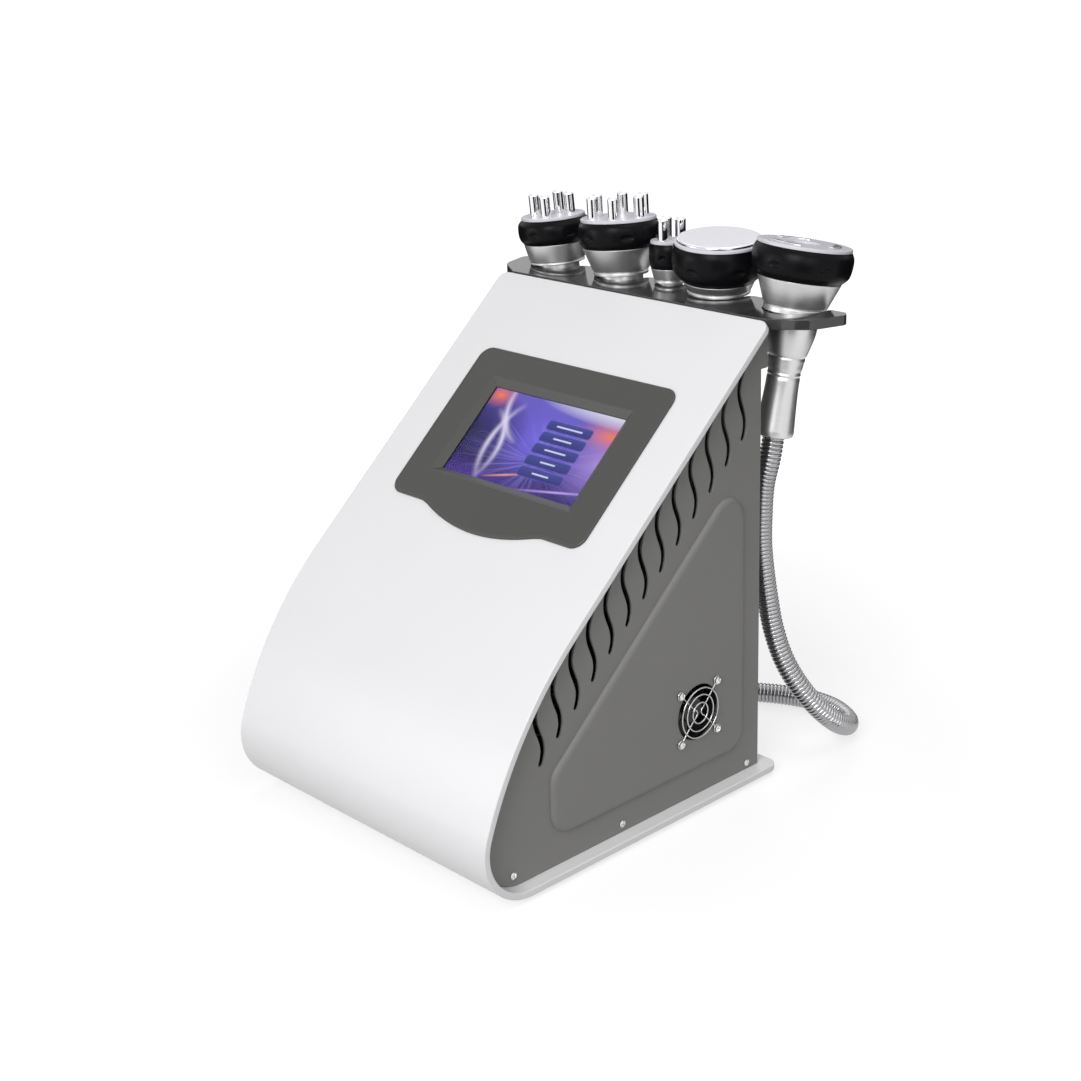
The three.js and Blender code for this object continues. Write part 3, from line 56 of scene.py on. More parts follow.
# Sizes repeated from the source of the solids
REAR = 132.816  # y of the rear plane
WIDTH = 356
HEIGHT = 454.8
SHEET = 6.8  # thickness of the wrap sheet
SLOPE = radians(41.4)
NOSE_TURN = radians(69.6)
FRONT_RADIUS = 380
NOSE_RADIUS = 55
TOP_Y = REAR - 5.7  # of the sheet's top edge
BASE_TAIL = REAR + 16.7
FOOT = 5
FIT = 0.3  # gap between pieces that meet
TOP_Z = FOOT + HEIGHT
PANEL_X = 163.9  # outer face of a side panel
PANEL = 2.5  # its thickness
SHELF_BOTTOM = TOP_Z - 9.5
PANEL_TOP = SHELF_BOTTOM - FIT
RAIL_FOOT = SHELF_BOTTOM - 38
FAN = (REAR - 91.7, 100.5)  # y and z of its axis
FAN_HALF = 25  # half the pitch of its screws
FACE = 3.2  # thickness of a handpiece's face


# ---- mesh helpers


class Shell:
    """Points in millimetres and faces, gathered before they become one mesh."""

    def __init__(self):
        self.points = []
        self.faces = []

    def ring(self, points):
        first = len(self.points)
        self.points += [Vector(p) for p in points]
        return list(range(first, len(self.points)))

    def band(self, a, b, closed=True):
        count = max(len(a), len(b))
        for i in range(count if closed else count - 1):
            j = (i + 1) % count
            corners = [a[i % len(a)], a[j % len(a)], b[j % len(b)], b[i % len(b)]]
            self.faces.append(tuple(dict.fromkeys(corners)))

    def skin(self, rings, closed=True):
        """Bands from each ring to the next."""
        for a, b in zip(rings, rings[1:]):
            self.band(a, b, closed)

    def cap(self, *rings):
        order = [i for ring in rings for i in ring]
        loops = [[self.points[i] for i in ring] for ring in rings]
        for triangle in tessellate_polygon(loops):
            self.faces.append(tuple(order[i] for i in triangle))


def link(thing):
    bpy.context.scene.collection.objects.link(thing)


def piece(name, shell, material, body="cabinet", slot=None, nodes=(), place=None, angle=32):
    """One object on a body, in place of some nodes. Weighted normals keep its big faces flat."""
    mesh = bpy.data.meshes.new(name)
    mesh.from_pydata([p * MM for p in shell.points], [], shell.faces)
    work = bmesh.new()
    work.from_mesh(mesh)
    bmesh.ops.remove_doubles(work, verts=work.verts, dist=1e-7)
    bmesh.ops.recalc_face_normals(work, faces=work.faces)
    work.to_mesh(mesh)
    work.free()
    mesh.polygons.foreach_set("use_smooth", [True] * len(mesh.polygons))
    mesh.set_sharp_from_angle(angle=radians(angle))
    mesh.materials.append(material)
    made = bpy.data.objects.new(name, mesh)
    link(made)
    if place is not None:
        made.matrix_world = place
    weighted = made.modifiers.new("Even", "WEIGHTED_NORMAL")
    weighted.keep_sharp = True
    weighted.weight = 80
    if body:
        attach(made, body)
    if nodes:
        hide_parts(*nodes)
    return made


def offset(loop, distance):
    """A closed outline moved inwards by a distance."""
    points = [Vector(p[:2]) for p in loop]
    count = len(points)
    area = sum(points[i].cross(points[(i + 1) % count]) for i in range(count))
    side = 1 if area > 0 else -1
    moved = []
    for i, p in enumerate(points):
        before = (p - points[i - 1]).normalized()
        after = (points[(i + 1) % count] - p).normalized()
        a = Vector((-before.y, before.x)) * side
        b = Vector((-after.y, after.x)) * side
        moved.append(p + (a + b) * (distance / max(0.3, 1 + a.dot(b))))
    return moved


def rounded(corners, radius=0, steps=8, closed=True):
    """Corners (x, y[, radius]) with each one rounded."""
    path = []
    count = len(corners)
    for i, corner in enumerate(corners):
        here = Vector(corner[:2])
        size = corner[2] if len(corner) > 2 else radius
        if not size or (not closed and i in (0, count - 1)):
            path.append(here)
            continue
        back = (Vector(corners[i - 1][:2]) - here).normalized()
        on = (Vector(corners[(i + 1) % count][:2]) - here).normalized()
        half = back.angle(on) / 2
        if half > pi / 2 - 0.01:
            path.append(here)
            continue
        centre = here + (back + on).normalized() * (size / sin(half))
        reach = size / tan(half)
        start = here + back * reach - centre
        end = here + on * reach - centre
        first = atan2(start.y, start.x)
        sweep = atan2(start.cross(end), start.dot(end))
        for step in range(steps + 1):
            angle = first + sweep * step / steps
            path.append(centre + Vector((cos(angle), sin(angle))) * size)
    return path


def spread(start, end, steps):
    return [start + (end - start) * i / steps for i in range(steps + 1)]


def arc(x, y, radius, start, end, steps):
    return [Vector((x + radius * cos(a), y + radius * sin(a))) for a in spread(start, end, steps)]


def rectangle(left, low, right, high):
    return [(left, low), (right, low), (right, high), (left, high)]


def circle(x, y, radius, steps=24):
    return arc(x, y, radius, 0, 2 * pi, steps)[:-1]


def edge_levels(top, bottom, edge, foot_edge=None, steps=3):
    """(inset, height) pairs of a wall whose upper and lower edges are rounded."""
    foot_edge = edge if foot_edge is None else foot_edge
    turns = spread(0, pi / 2, steps)
    upper = [(edge * (1 - sin(a)), top - edge * (1 - cos(a))) for a in turns]
    lower = [(foot_edge * (1 - sin(a)), bottom + foot_edge * (1 - cos(a))) for a in reversed(turns)]
    return upper + lower


def wall(shell, loop, place, levels, hole=False):
    """The wall round an outline or a hole. Returns its first and last ring."""
    rings = []
    for inset, height in levels:
        moved = offset(loop, -inset if hole else inset)
        rings.append(shell.ring([place(p.x, p.y, height) for p in moved]))
    shell.skin(rings)
    return rings[0], rings[-1]


def pierced(shell, outer, levels, holes, place):
    """A plate with rounded edges. Each hole comes with its own levels."""
    ends = [wall(shell, outer, place, levels)]
    ends += [wall(shell, hole, place, own, hole=True) for hole, own in holes]
    shell.cap(*[first for first, _ in ends])
    shell.cap(*[last for _, last in ends])


def slab(shell, outer, holes, place, top, bottom, edge):
    levels = edge_levels(top, bottom, edge)
    pierced(shell, outer, levels, [(hole, levels) for hole in holes], place)


def board(name, outer, carry, top, bottom, edge, material, holes=(), **more):
    """A piece cut from a flat board. carry takes its points to their place."""
    shell = Shell()
    slab(shell, outer, holes, carry, top, bottom, edge)
    piece(name, shell, material, **more)


def as_is(x, y, h):
    return (x, y, h)


def lathe(shell, profile, segments=72, warp=None, ring=False):
    """Turns a profile of (radius, height) about Z. A ring profile is closed on itself."""
    rings = []
    for radius, height in profile:
        if radius < 1e-6:
            rings.append(shell.ring([(0, 0, height)]))
            continue
        points = []
        for i in range(segments):
            angle = 2 * pi * i / segments
            r, h = (radius, height) if warp is None else warp(radius, height, angle)
            points.append((r * cos(angle), r * sin(angle), h))
        rings.append(shell.ring(points))
    shell.skin(rings + rings[:1] if ring else rings)


def turned(name, profile, segments, material, warp=None, ring=False, **more):
    """A piece turned from a profile."""
    shell = Shell()
    lathe(shell, profile, segments, warp, ring)
    return piece(name, shell, material, **more)


def turning(points, steps=4):
    """A profile for the lathe: corners (radius, height[, rounding])."""
    return rounded(points, steps=steps, closed=False)


def at(x, y, z):
    return Matrix.Translation(Vector((x, y, z)) * MM)


def spun(angle, axis="Z"):
    return Matrix.Rotation(angle, 4, axis)


def spline(points, step):
    """Centripetal Catmull-Rom curve through points of any size, sampled about every step."""
    points = [Vector(p) for p in points]
    ends = [points[0] * 2 - points[1], *points, points[-1] * 2 - points[-2]]
    path = []
    for i in range(1, len(ends) - 2):
        p0, p1, p2, p3 = ends[i - 1 : i + 3]
        t1 = (p1 - p0).length ** 0.5
        t2 = t1 + (p2 - p1).length ** 0.5
        t3 = t2 + (p3 - p2).length ** 0.5
        count = max(2, round((p2 - p1).length / step))
        for k in range(count):
            t = t1 + (t2 - t1) * k / count

            def mean(a, b, start, end):
                return a * ((end - t) / (end - start)) + b * ((t - start) / (end - start))

            first, second, third = mean(p0, p1, 0, t1), mean(p1, p2, t1, t2), mean(p2, p3, t2, t3)
            path.append(mean(mean(first, second, 0, t2), mean(second, third, t1, t3), t1, t2))
    path.append(points[-1])
    return path


def evenly(path, pitch):
    """Points of a path at an even pitch along it."""
    lengths = [0.0]
    for a, b in zip(path, path[1:]):
        lengths.append(lengths[-1] + (b - a).length)
    count = max(1, round(lengths[-1] / pitch))
    found = []
    k = 0
    for i in range(count + 1):
        wanted = lengths[-1] * i / count
        while k < len(lengths) - 2 and lengths[k + 1] < wanted:
            k += 1
        share = (wanted - lengths[k]) / max(1e-9, lengths[k + 1] - lengths[k])
        found.append(path[k].lerp(path[k + 1], min(1, share)))
    return found


def tube(shell, path, radii, sides=12, closed=False):
    """A round tube along a path. radii is one number, or one for each point."""
    count = len(path)
    radii = radii if hasattr(radii, "__len__") else [radii] * count
    side = None
    rings = []
    for i, p in enumerate(path):
        after = path[(i + 1) % count] if closed or i < count - 1 else p
        before = path[i - 1] if closed or i else p
        way = (after - before).normalized()
        if side is None:
            side = way.orthogonal().normalized()
        side = (side - way * side.dot(way)).normalized()
        other = way.cross(side)
        turns = [2 * pi * k / sides for k in range(sides)]
        rings.append(shell.ring([p + (side * cos(a) + other * sin(a)) * radii[i] for a in turns]))
    shell.skin(rings)
    if closed:
        shift = min(
            range(sides),
            key=lambda k: (shell.points[rings[0][k]] - shell.points[rings[-1][0]]).length,
        )
        shell.band(rings[-1], rings[0][shift:] + rings[0][:shift])
    else:
        shell.cap(rings[0])
        shell.cap(rings[-1])


# ---- materials


def put(tree, socket, value):
    """Links a socket to an output, or sets it to a plain value."""
    if isinstance(value, bpy.types.NodeSocket):
        tree.links.new(value, socket)
    else:
        socket.default_value = value


def add(tree, kind, inputs=None, **settings):
    made = tree.nodes.new(f"ShaderNode{kind}")
    for key, value in settings.items():
        setattr(made, key, value)
    for key, value in (inputs or {}).items():
        put(tree, made.inputs[key], value)
    return made


def fresh(name):
    material = bpy.data.materials.new(name)
    material.use_nodes = True
    tree = material.node_tree
    tree.nodes.clear()
    return material, tree


def output(tree, shader, kind="Material"):
    add(tree, f"Output{kind}", {"Surface": shader.outputs[0]})


def calc(tree, operation, a, b=0.0):
    return add(tree, "Math", {0: a, 1: b}, operation=operation).outputs[0]


def remap(tree, value, low, high, to_low=0.0, to_high=1.0):
    """Carries the range from low to high to another range."""
    ends = {"From Min": low, "From Max": high, "To Min": to_low, "To Max": to_high}
    return add(tree, "MapRange", {"Value": value, **ends}).outputs[0]


def noise(tree, vector, scale, detail, rough=0.5):
    inputs = {"Vector": vector, "Scale": scale, "Detail": detail, "Roughness": rough}
    return add(tree, "TexNoise", inputs).outputs["Fac"]


def mixed(tree, first, second, amount):
    mix = add(tree, "Mix", {"Factor": amount}, data_type="RGBA")
    for socket, colour in zip([s for s in mix.inputs if s.type == "RGBA"], (first, second)):
        put(tree, socket, colour)
    return next(s for s in mix.outputs if s.type == "RGBA")


def grained(tree, base, fine, ends, rough, bump, depth, inputs):
    """A shader whose roughness and relief follow a fine noise."""
    uneven = remap(tree, fine, *ends, *rough)
    relief = {"Height": fine, "Strength": bump, "Distance": depth}
    bumped = add(tree, "Bump", relief).outputs[0]
    look = {"Base Color": base, "Roughness": uneven, "Normal": bumped, **inputs}
    output(tree, add(tree, "BsdfPrincipled", look))


def surface(name, colour, rough, vary, grain, bump, metal=0.0, **more):
    """A finish that varies a little in tone and roughness, with a grain of a size and depth."""
    material, tree = fresh(name)
    where = add(tree, "TexCoord").outputs["Object"]
    fine = noise(tree, where, grain, 3.0)
    broad = noise(tree, where, 14.0, 4.0)
    dark = (*[c * (1 - vary) for c in colour], 1)
    light = (*[min(1, c * (1 + vary)) for c in colour], 1)
    base = mixed(tree, dark, light, broad)
    uneven = (max(0.02, rough - 0.04), rough + 0.05)
    grained(tree, base, fine, (0.3, 0.7), uneven, bump, 0.0004, {"Metallic": metal, **more})
    return material


def turned_metal(name, level, rough, vary, rings, bump):
    """Metal turned on a lathe: fine rings about the piece's own axis."""
    material, tree = fresh(name)
    where = add(tree, "TexCoord").outputs["Object"]
    laid = add(tree, "Mapping", {"Vector": where, "Scale": (0.02, 0.02, 1)}).outputs[0]
    fine = noise(tree, laid, rings, 5.0, 0.7)
    ends = (0.25, 0.75)
    shade = remap(tree, fine, *ends, level * (1 - vary), level * (1 + vary))
    parts = dict.fromkeys(("Red", "Green", "Blue"), shade)
    base = add(tree, "CombineColor", parts).outputs[0]
    grained(tree, base, fine, ends, (rough * 0.8, rough * 1.25), bump, 0.0003, {"Metallic": 1.0})
    return material


WHITE = surface("white_sheet", (0.84, 0.835, 0.85), 0.34, 0.012, 700, 0.03)
GREY = surface("grey_panel", (0.212, 0.21, 0.204), 0.5, 0.03, 2600, 0.16)
DARK = surface("dark_trim", (0.05, 0.05, 0.048), 0.42, 0.03, 2200, 0.1)
SHELF = surface("shelf_gloss", (0.048, 0.048, 0.05), 0.09, 0.05, 500, 0.005)
DULL = {"Specular IOR Level": 0.08}
COLLAR = surface("collar_plastic", (0.005, 0.005, 0.006), 0.3, 0.1, 1200, 0.02, **DULL)
BLACK = surface("black_plastic", (0.012, 0.012, 0.013), 0.42, 0.1, 1600, 0.1)
FACE_WHITE = surface("face_white", (0.7, 0.69, 0.75), 0.3, 0.02, 900, 0.02)
RUBBER = surface("rubber", (0.018, 0.018, 0.018), 0.78, 0.15, 1400, 0.25)
PLATE = surface("head_plate", (0.63, 0.625, 0.67), 0.2, 0.02, 900, 0.01, metal=1.0)
CHROME = surface("chrome", (0.86, 0.86, 0.88), 0.05, 0.02, 400, 0.006, metal=1.0)
WIRE = surface("guard_wire", (0.5, 0.5, 0.5), 0.22, 0.04, 900, 0.01, metal=1.0)
BRIGHT = surface("bright_steel", (0.72, 0.72, 0.73), 0.2, 0.06, 1500, 0.04, metal=1.0)
BOARD = surface("circuit_board", (0.02, 0.16, 0.06), 0.35, 0.25, 300, 0.1)
ALLOY = turned_metal("satin_aluminium", 0.64, 0.38, 0.05, 2600, 0.03)
STEEL = turned_metal("turned_steel", 0.6, 0.22, 0.1, 2600, 0.1)
INNER = surface("inner_metal", (0.5, 0.5, 0.5), 0.45, 0.1, 180, 0.05, metal=1.0)
HOSE = surface("hose_steel", (0.38, 0.38, 0.39), 0.24, 0.06, 900, 0.02, metal=1.0)


# ---- camera

EYE = (1.2435, -1.155296, 0.8605)
YAW, PITCH, ROLL = radians(47.04), radians(20.02), radians(-1.85)
look = Vector((-sin(YAW) * cos(PITCH), cos(YAW) * cos(PITCH), -sin(PITCH)))
across = Vector((cos(YAW), sin(YAW), 0))
upright = across.cross(look)
side_way = across * cos(ROLL) + upright * sin(ROLL)
up_way = -across * sin(ROLL) + upright * cos(ROLL)
lens = bpy.data.cameras.new("camera")
lens.lens = 62.69
lens.sensor_width = 36
lens.clip_start = 0.05
lens.clip_end = 40
camera = bpy.data.objects.new("camera", lens)
turn = Matrix((side_way, up_way, -look)).transposed().to_4x4()
camera.matrix_world = Matrix.Translation(EYE) @ turn
link(camera)
bpy.context.scene.camera = camera
bpy.context.scene.view_settings.view_transform = "Standard"


# ---- handpiece seats

# The seat is where a cone's foot stands, and the lean its angle and direction in degrees
HANDPIECES = {
    "quad": SimpleNamespace(
        seat=(-156.39, 185.696, 463.982), lean=(5.4, 193.3), waist=28.5, flange=1.2, neck=22,
        cone=19.8, cone_top=33, bulge=37.8, height=47.8, face=33, handle=124, grip=17, core=25.55,
        pins=4, circle=19.3, spin=25.5,
    ),
    "hexa": SimpleNamespace(
        seat=(-64.79, 185.696, 464.625), lean=(4.4, 161.3), waist=27.7, flange=2.4, neck=22,
        cone=25, cone_top=37.5, bulge=41.3, height=54.3, face=38.1, handle=124, grip=17, core=33.35,
        pins=6, circle=27.1, spin=4,
    ),
    "tripolar": SimpleNamespace(
        seat=(-1.89, 190.654, 462.932), lean=(3, 137), waist=15.9, flange=2, neck=12,
        cone=12.3, cone_top=19.2, bulge=21, height=39.8, face=19.4, handle=108, grip=10.5, core=16.65,
        pins=3, circle=10.4, spin=32,
    ),
    "cavitation": SimpleNamespace(
        seat=(66.11, 185.035, 464.228), lean=(4, -43), waist=30.5, flange=2, neck=24,
        cone=9.8, cone_top=35, bulge=45.3, height=48.7, face=43, handle=122, grip=18, core=24.4,
        disc=40.5,
    ),
    "vacuum": SimpleNamespace(
        seat=(158.71, 185.696, 460.2), lean=(9.85, 71), waist=29.2, flange=4.6, neck=23.6,
        cone=26.4, cone_top=39.4, bulge=47.2, height=59.5, face=44.2, handle=122.4, grip=15.7, core=34.5,
        port=13,
    ),
}


def seat_of(name):
    tilt, toward = (radians(angle) for angle in HANDPIECES[name].lean)
    return at(*HANDPIECES[name].seat) @ spun(tilt, Vector((-sin(toward), cos(toward), 0)))


# ---- hose

HOSE_RADIUS = 10.6
VALLEY_RADIUS = 9.2  # between two ribs
RIB_PITCH = 4.0
LYING = 10.9  # height of the hose's middle where it lies on the floor
STRAIGHT = 21.2  # run without a bend at either end
ROUTE = [
    (145.2, 27.4, 290), (142.2, 28.3, 256.5), (140.9, 30, 228), (142.1, 32.7, 200),
    (145.6, 34.9, 171), (151.6, 36.6, 141), (161.8, 40.5, 110.5), (174.6, 49.1, 83),
    (186, 64.5, 57.5), (191, 87, 35.5), (184.5, 115, 19.5), (166.5, 139, 12),
    (139.5, 152.4, 10.9), (109, 152.8, 10.9), (80, 143, 10.9), (50, 125.6, 10.9),
    (18, 104, 10.9), (-16, 81.4, 10.9), (-52, 60.6, 10.9), (-90, 44.6, 10.9), (-128, 35, 10.9),
]
COIL = (-178, 160 + REAR)
COIL_RADIUS, COIL_TURNS, COIL_POINTS = 128, 1.3, 32
LEVEL_TURNS = 0.8  # after these it winds inwards faster and lies higher


def coil_point(turns):
    late = max(0, turns - LEVEL_TURNS)
    radius = COIL_RADIUS - 23 * turns - 108 * late * late
    angle = -pi / 2 - 2 * pi * turns
    climb = min(1, late / 0.5)
    height = LYING + 3.3 * climb * climb * (3 - 2 * climb)
    return Vector((COIL[0] + radius * cos(angle), COIL[1] + radius * sin(angle), height))


vacuum_seat = seat_of("vacuum")
down = (vacuum_seat.to_3x3() @ Vector((0, 0, -1))).normalized()
hose_exit = vacuum_seat @ Vector((0, 0, -122.7 * MM)) / MM
coil = [coil_point(COIL_TURNS * i / (COIL_POINTS - 1)) for i in range(COIL_POINTS)]
plug_way = coil[-1] - coil[-2]
plug_way.z = 0
plug_way.normalize()
coil_end = coil[-1] + plug_way * STRAIGHT
route = [hose_exit, hose_exit + down * STRAIGHT]
route += [Vector((x, y + REAR, z)) for x, y, z in ROUTE]
route += [Vector((COIL[0] + 21.5, COIL[1] - COIL_RADIUS, LYING)), *coil, coil_end]
RINGS = 6  # rings of points for each rib
hose_path = evenly(spline(route, 3), RIB_PITCH / RINGS)
swell = [0.0, 0.66, 0.94, 1.0, 0.94, 0.66]
ribbed = [VALLEY_RADIUS + (HOSE_RADIUS - VALLEY_RADIUS) * share for share in swell]
radii = [ribbed[i % RINGS] for i in range(len(hose_path))]
hose_shell = Shell()
tube(hose_shell, hose_path, radii, sides=26)
hose = piece(
    "ribbed_hose", hose_shell, HOSE, body=None, slot="hose", nodes=("hose_free", "hose_coil"), angle=80
)
hose.modifiers.clear()

plug_profile = turning(
    [
        (0, 0), (9.6, 0), (10.4, 2), (13.2, 9.2, 2), (13.2, 32.2, 1), (11.3, 34, 0.5),
        (11.3, 41.4, 0.8), (8, 41.4, 0.4), (8, 46, 1), (0, 46),
    ]
)
plug_turn = plug_way.to_track_quat("Z", "Y").to_matrix().to_4x4()
plug_place = Matrix.Translation((coil_end + plug_way * FIT) * MM) @ plug_turn
plug = turned(
    "hose_end_plug", plug_profile, 144, STEEL, slot="steel_plug", nodes=("hose_plug",), place=plug_place
)

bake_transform(hose)


# ---- wrap sheet

nose_z = FOOT + NOSE_RADIUS
front_z = nose_z + (NOSE_RADIUS - FRONT_RADIUS) * cos(NOSE_TURN)
slope_length = (TOP_Z - front_z - FRONT_RADIUS * cos(SLOPE)) / sin(SLOPE)
front_y = TOP_Y - slope_length * cos(SLOPE) + FRONT_RADIUS * sin(SLOPE)
nose_y = front_y - (FRONT_RADIUS - NOSE_RADIUS) * sin(NOSE_TURN)
front_length = FRONT_RADIUS * (NOSE_TURN - SLOPE)
nose_length = NOSE_RADIUS * (pi - NOSE_TURN)
base_length = BASE_TAIL - nose_y
sheet_length = slope_length + front_length + nose_length + base_length


def sheet_point(along, depth):
    """(y, z) of the sheet at a distance along its outer face and a depth below it."""
    if along < slope_length:
        normal = (-sin(SLOPE), cos(SLOPE))
        y, z = TOP_Y - along * cos(SLOPE), TOP_Z - along * sin(SLOPE)
    elif along < slope_length + front_length:
        angle = pi / 2 + SLOPE + (along - slope_length) / FRONT_RADIUS
        normal = (cos(angle), sin(angle))
        y, z = front_y + FRONT_RADIUS * normal[0], front_z + FRONT_RADIUS * normal[1]
    elif along < slope_length + front_length + nose_length:
        angle = pi / 2 + NOSE_TURN + (along - slope_length - front_length) / NOSE_RADIUS
        normal = (cos(angle), sin(angle))
        y, z = nose_y + NOSE_RADIUS * normal[0], nose_z + NOSE_RADIUS * normal[1]
    else:
        normal = (0, -1)
        y, z = nose_y + along - (sheet_length - base_length), FOOT
    return y - depth * normal[0], z - depth * normal[1]


def sheet_line(depth, rear):
    curve = spread(slope_length, slope_length + front_length + nose_length, 60)
    return [sheet_point(s, depth) for s in [0, *curve]] + [(rear, FOOT + depth)]


HALF = WIDTH / 2
TOP_CORNER, TAIL_CORNER, CORNER_STEPS = 10, 12.7, 6
ROOM = 6.3  # by which the sheet's opening passes the glass on every side
hole_top, hole_foot, hole_side = 128.7 - ROOM, 226.9 + ROOM, 88 + ROOM


STATIONS = [
    TOP_CORNER, hole_top, hole_foot, slope_length, slope_length + front_length,
    sheet_length - base_length, sheet_length - TAIL_CORNER,
]
middle = []
for start, end, step in zip(STATIONS, STATIONS[1:], (16, 16, 16, 8, 3, 20)):
    middle += spread(start, end, max(1, round((end - start) / step)))[1:]
middle.pop()


def sheet_rows(inset):
    """(distance along the sheet, half width) of each row of points."""
    rows = []
    for radius, flip in ((TOP_CORNER, False), (TAIL_CORNER, True)):
        corner = []
        for a in spread(0, pi / 2, CORNER_STEPS):
            along = inset + (radius - inset) * (1 - cos(a))
            corner.append((along, HALF - radius + (radius - inset) * sin(a)))
        if flip:
            rows += [(sheet_length - along, half) for along, half in reversed(corner)]
        else:
            rows += corner + [(along, HALF - inset) for along in middle]
    return rows


columns = [-160, -128, -hole_side, -62, -31, 0, 31, 62, hole_side, 128, 160]


def sheet_grid(inset, depth):
    grid = []
    for along, half in sheet_rows(inset):
        y, z = sheet_point(along, depth)
        grid.append([(x, y, z) for x in [-half, *columns, half]])
    return grid


def border(grid):
    sides = [row[-1] for row in grid[1:]], [row[0] for row in grid[-2:0:-1]]
    return grid[0] + sides[0] + grid[-1][-2::-1] + sides[1]


sheet = Shell()
EDGE = 1.1
levels = edge_levels(0, -SHEET, EDGE, steps=4)
grids = []
for inset, height in (levels[0], levels[-1]):
    grids.append([sheet.ring(row) for row in sheet_grid(inset, -height)])
rows_made = [row[0] for row in sheet_rows(EDGE)]
hole_rows = [i for i, along in enumerate(rows_made) if hole_top - 0.01 < along < hole_foot + 0.01]
hole_columns = [i + 1 for i, x in enumerate(columns) if abs(x) < hole_side + 0.01]
r0, r1, c0, c1 = hole_rows[0], hole_rows[-1], hole_columns[0], hole_columns[-1]
for grid in grids:
    for i, (a, b) in enumerate(zip(grid, grid[1:])):
        for j in range(len(a) - 1):
            if not (r0 <= i < r1 and c0 <= j < c1):
                sheet.faces.append((a[j], a[j + 1], b[j + 1], b[j]))
hole_rims = [border([row[c0 : c1 + 1] for row in grid[r0 : r1 + 1]]) for grid in grids]
sheet.band(*hole_rims)
rims = [border(grids[0])]
rims += [sheet.ring(border(sheet_grid(inset, -height))) for inset, height in levels[1:-1]]
rims += [border(grids[1])]
sheet.skin(rims)


def on_side(side, face):
    """Carries (y, z) and a height out of the side of the cabinet to its place."""
    return lambda y, z, h: (side * (face + h), y, z)


rail_outline = rectangle(REAR - 330, 11.5, REAR - 9, 29.8)
for side in (-1, 1):
    slab(sheet, rounded(rail_outline), [], on_side(side, 157.1), 4, 0, 0.4)
piece("sheet_wrap", sheet, WHITE, slot="white_sheet", nodes=("wrap_sheet",), angle=50)


# ---- side panels


def slope_y(z, depth):
    return TOP_Y + depth * sin(SLOPE) + (z - TOP_Z + depth * cos(SLOPE)) / tan(SLOPE)


def slope_z(y, depth):
    return TOP_Z - depth * cos(SLOPE) + (y - TOP_Y - depth * sin(SLOPE)) * tan(SLOPE)


SIDES = (("left", -1), ("right", 1))
SLOTS, FIRST_SLOT, SLOT_PITCH = 13, 88.5, 29.5
SLOT_FOOT = 69  # depth of a slot's foot below the slope


def slot_loop(index):
    """A wavy slot with round ends."""
    along = FIRST_SLOT + index * SLOT_PITCH
    y0 = TOP_Y - along * cos(SLOPE) + SLOT_FOOT * sin(SLOPE)
    z0 = TOP_Z - along * sin(SLOPE) - SLOT_FOOT * cos(SLOPE)
    half, length, wave, swing, steps = 2.8, 71, 63.6, 4.1, 26

    def centre(s):
        return Vector((y0 + swing * sin(2 * pi * s / wave), z0 + s))

    def leaned(s):
        return atan2(swing * 2 * pi / wave * cos(2 * pi * s / wave), 1)

    near, far = [], []
    for i in range(steps + 1):
        s = half + (length - 2 * half) * i / steps
        out = Vector((cos(leaned(s)), -sin(leaned(s)))) * half
        near.append(centre(s) + out)
        far.append(centre(s) - out)
    tips = []
    for s, turn in ((length - half, 1), (half, -1)):
        turns = [turn * (pi * k / 8) - leaned(s) for k in range(1, 8)]
        tips.append([centre(s) + Vector((cos(a), sin(a))) * half for a in turns])
    return near + tips[0] + far[::-1] + tips[1][::-1]


FIELD_DEPTH, FIELD_CORNER = 86, 23
field_rear, field_front, field_foot = REAR - 24.8, REAR - 281.6, 41.2
field = rounded(
    [
        (field_rear, field_foot), (field_rear, slope_z(field_rear, FIELD_DEPTH)),
        (field_front, slope_z(field_front, FIELD_DEPTH)), (field_front, field_foot),
    ],
    FIELD_CORNER, 14,
)
PANEL_DEPTH = 7.1  # of the panel's edge below the sheet's outer face
panel = [Vector((slope_y(PANEL_TOP, PANEL_DEPTH), PANEL_TOP))]
panel += [Vector(p) for p in sheet_line(PANEL_DEPTH, REAR)[1:]]
panel += [Vector(p) for p in ((REAR, RAIL_FOOT), (REAR + 9, RAIL_FOOT), (REAR + 9, PANEL_TOP))]
panel_screws = [(REAR - 17.5, 19.0), (REAR - 192, 20.9), (REAR - 328.5, 23.8)]
fan_corners = [(FAN[0] + a * FAN_HALF, FAN[1] + b * FAN_HALF) for a in (-1, 1) for b in (-1, 1)]
RISE = 1.5  # of the field in the solids
FIELD_RISE, BEVEL = 4.2, 6.5
curve = [(BEVEL * (1 - cos(a)), FIELD_RISE * sin(a)) for a in spread(0, pi / 2, 10)]


def bores(places):
    return [circle(y, z, 2.1, 16) for y, z in places]


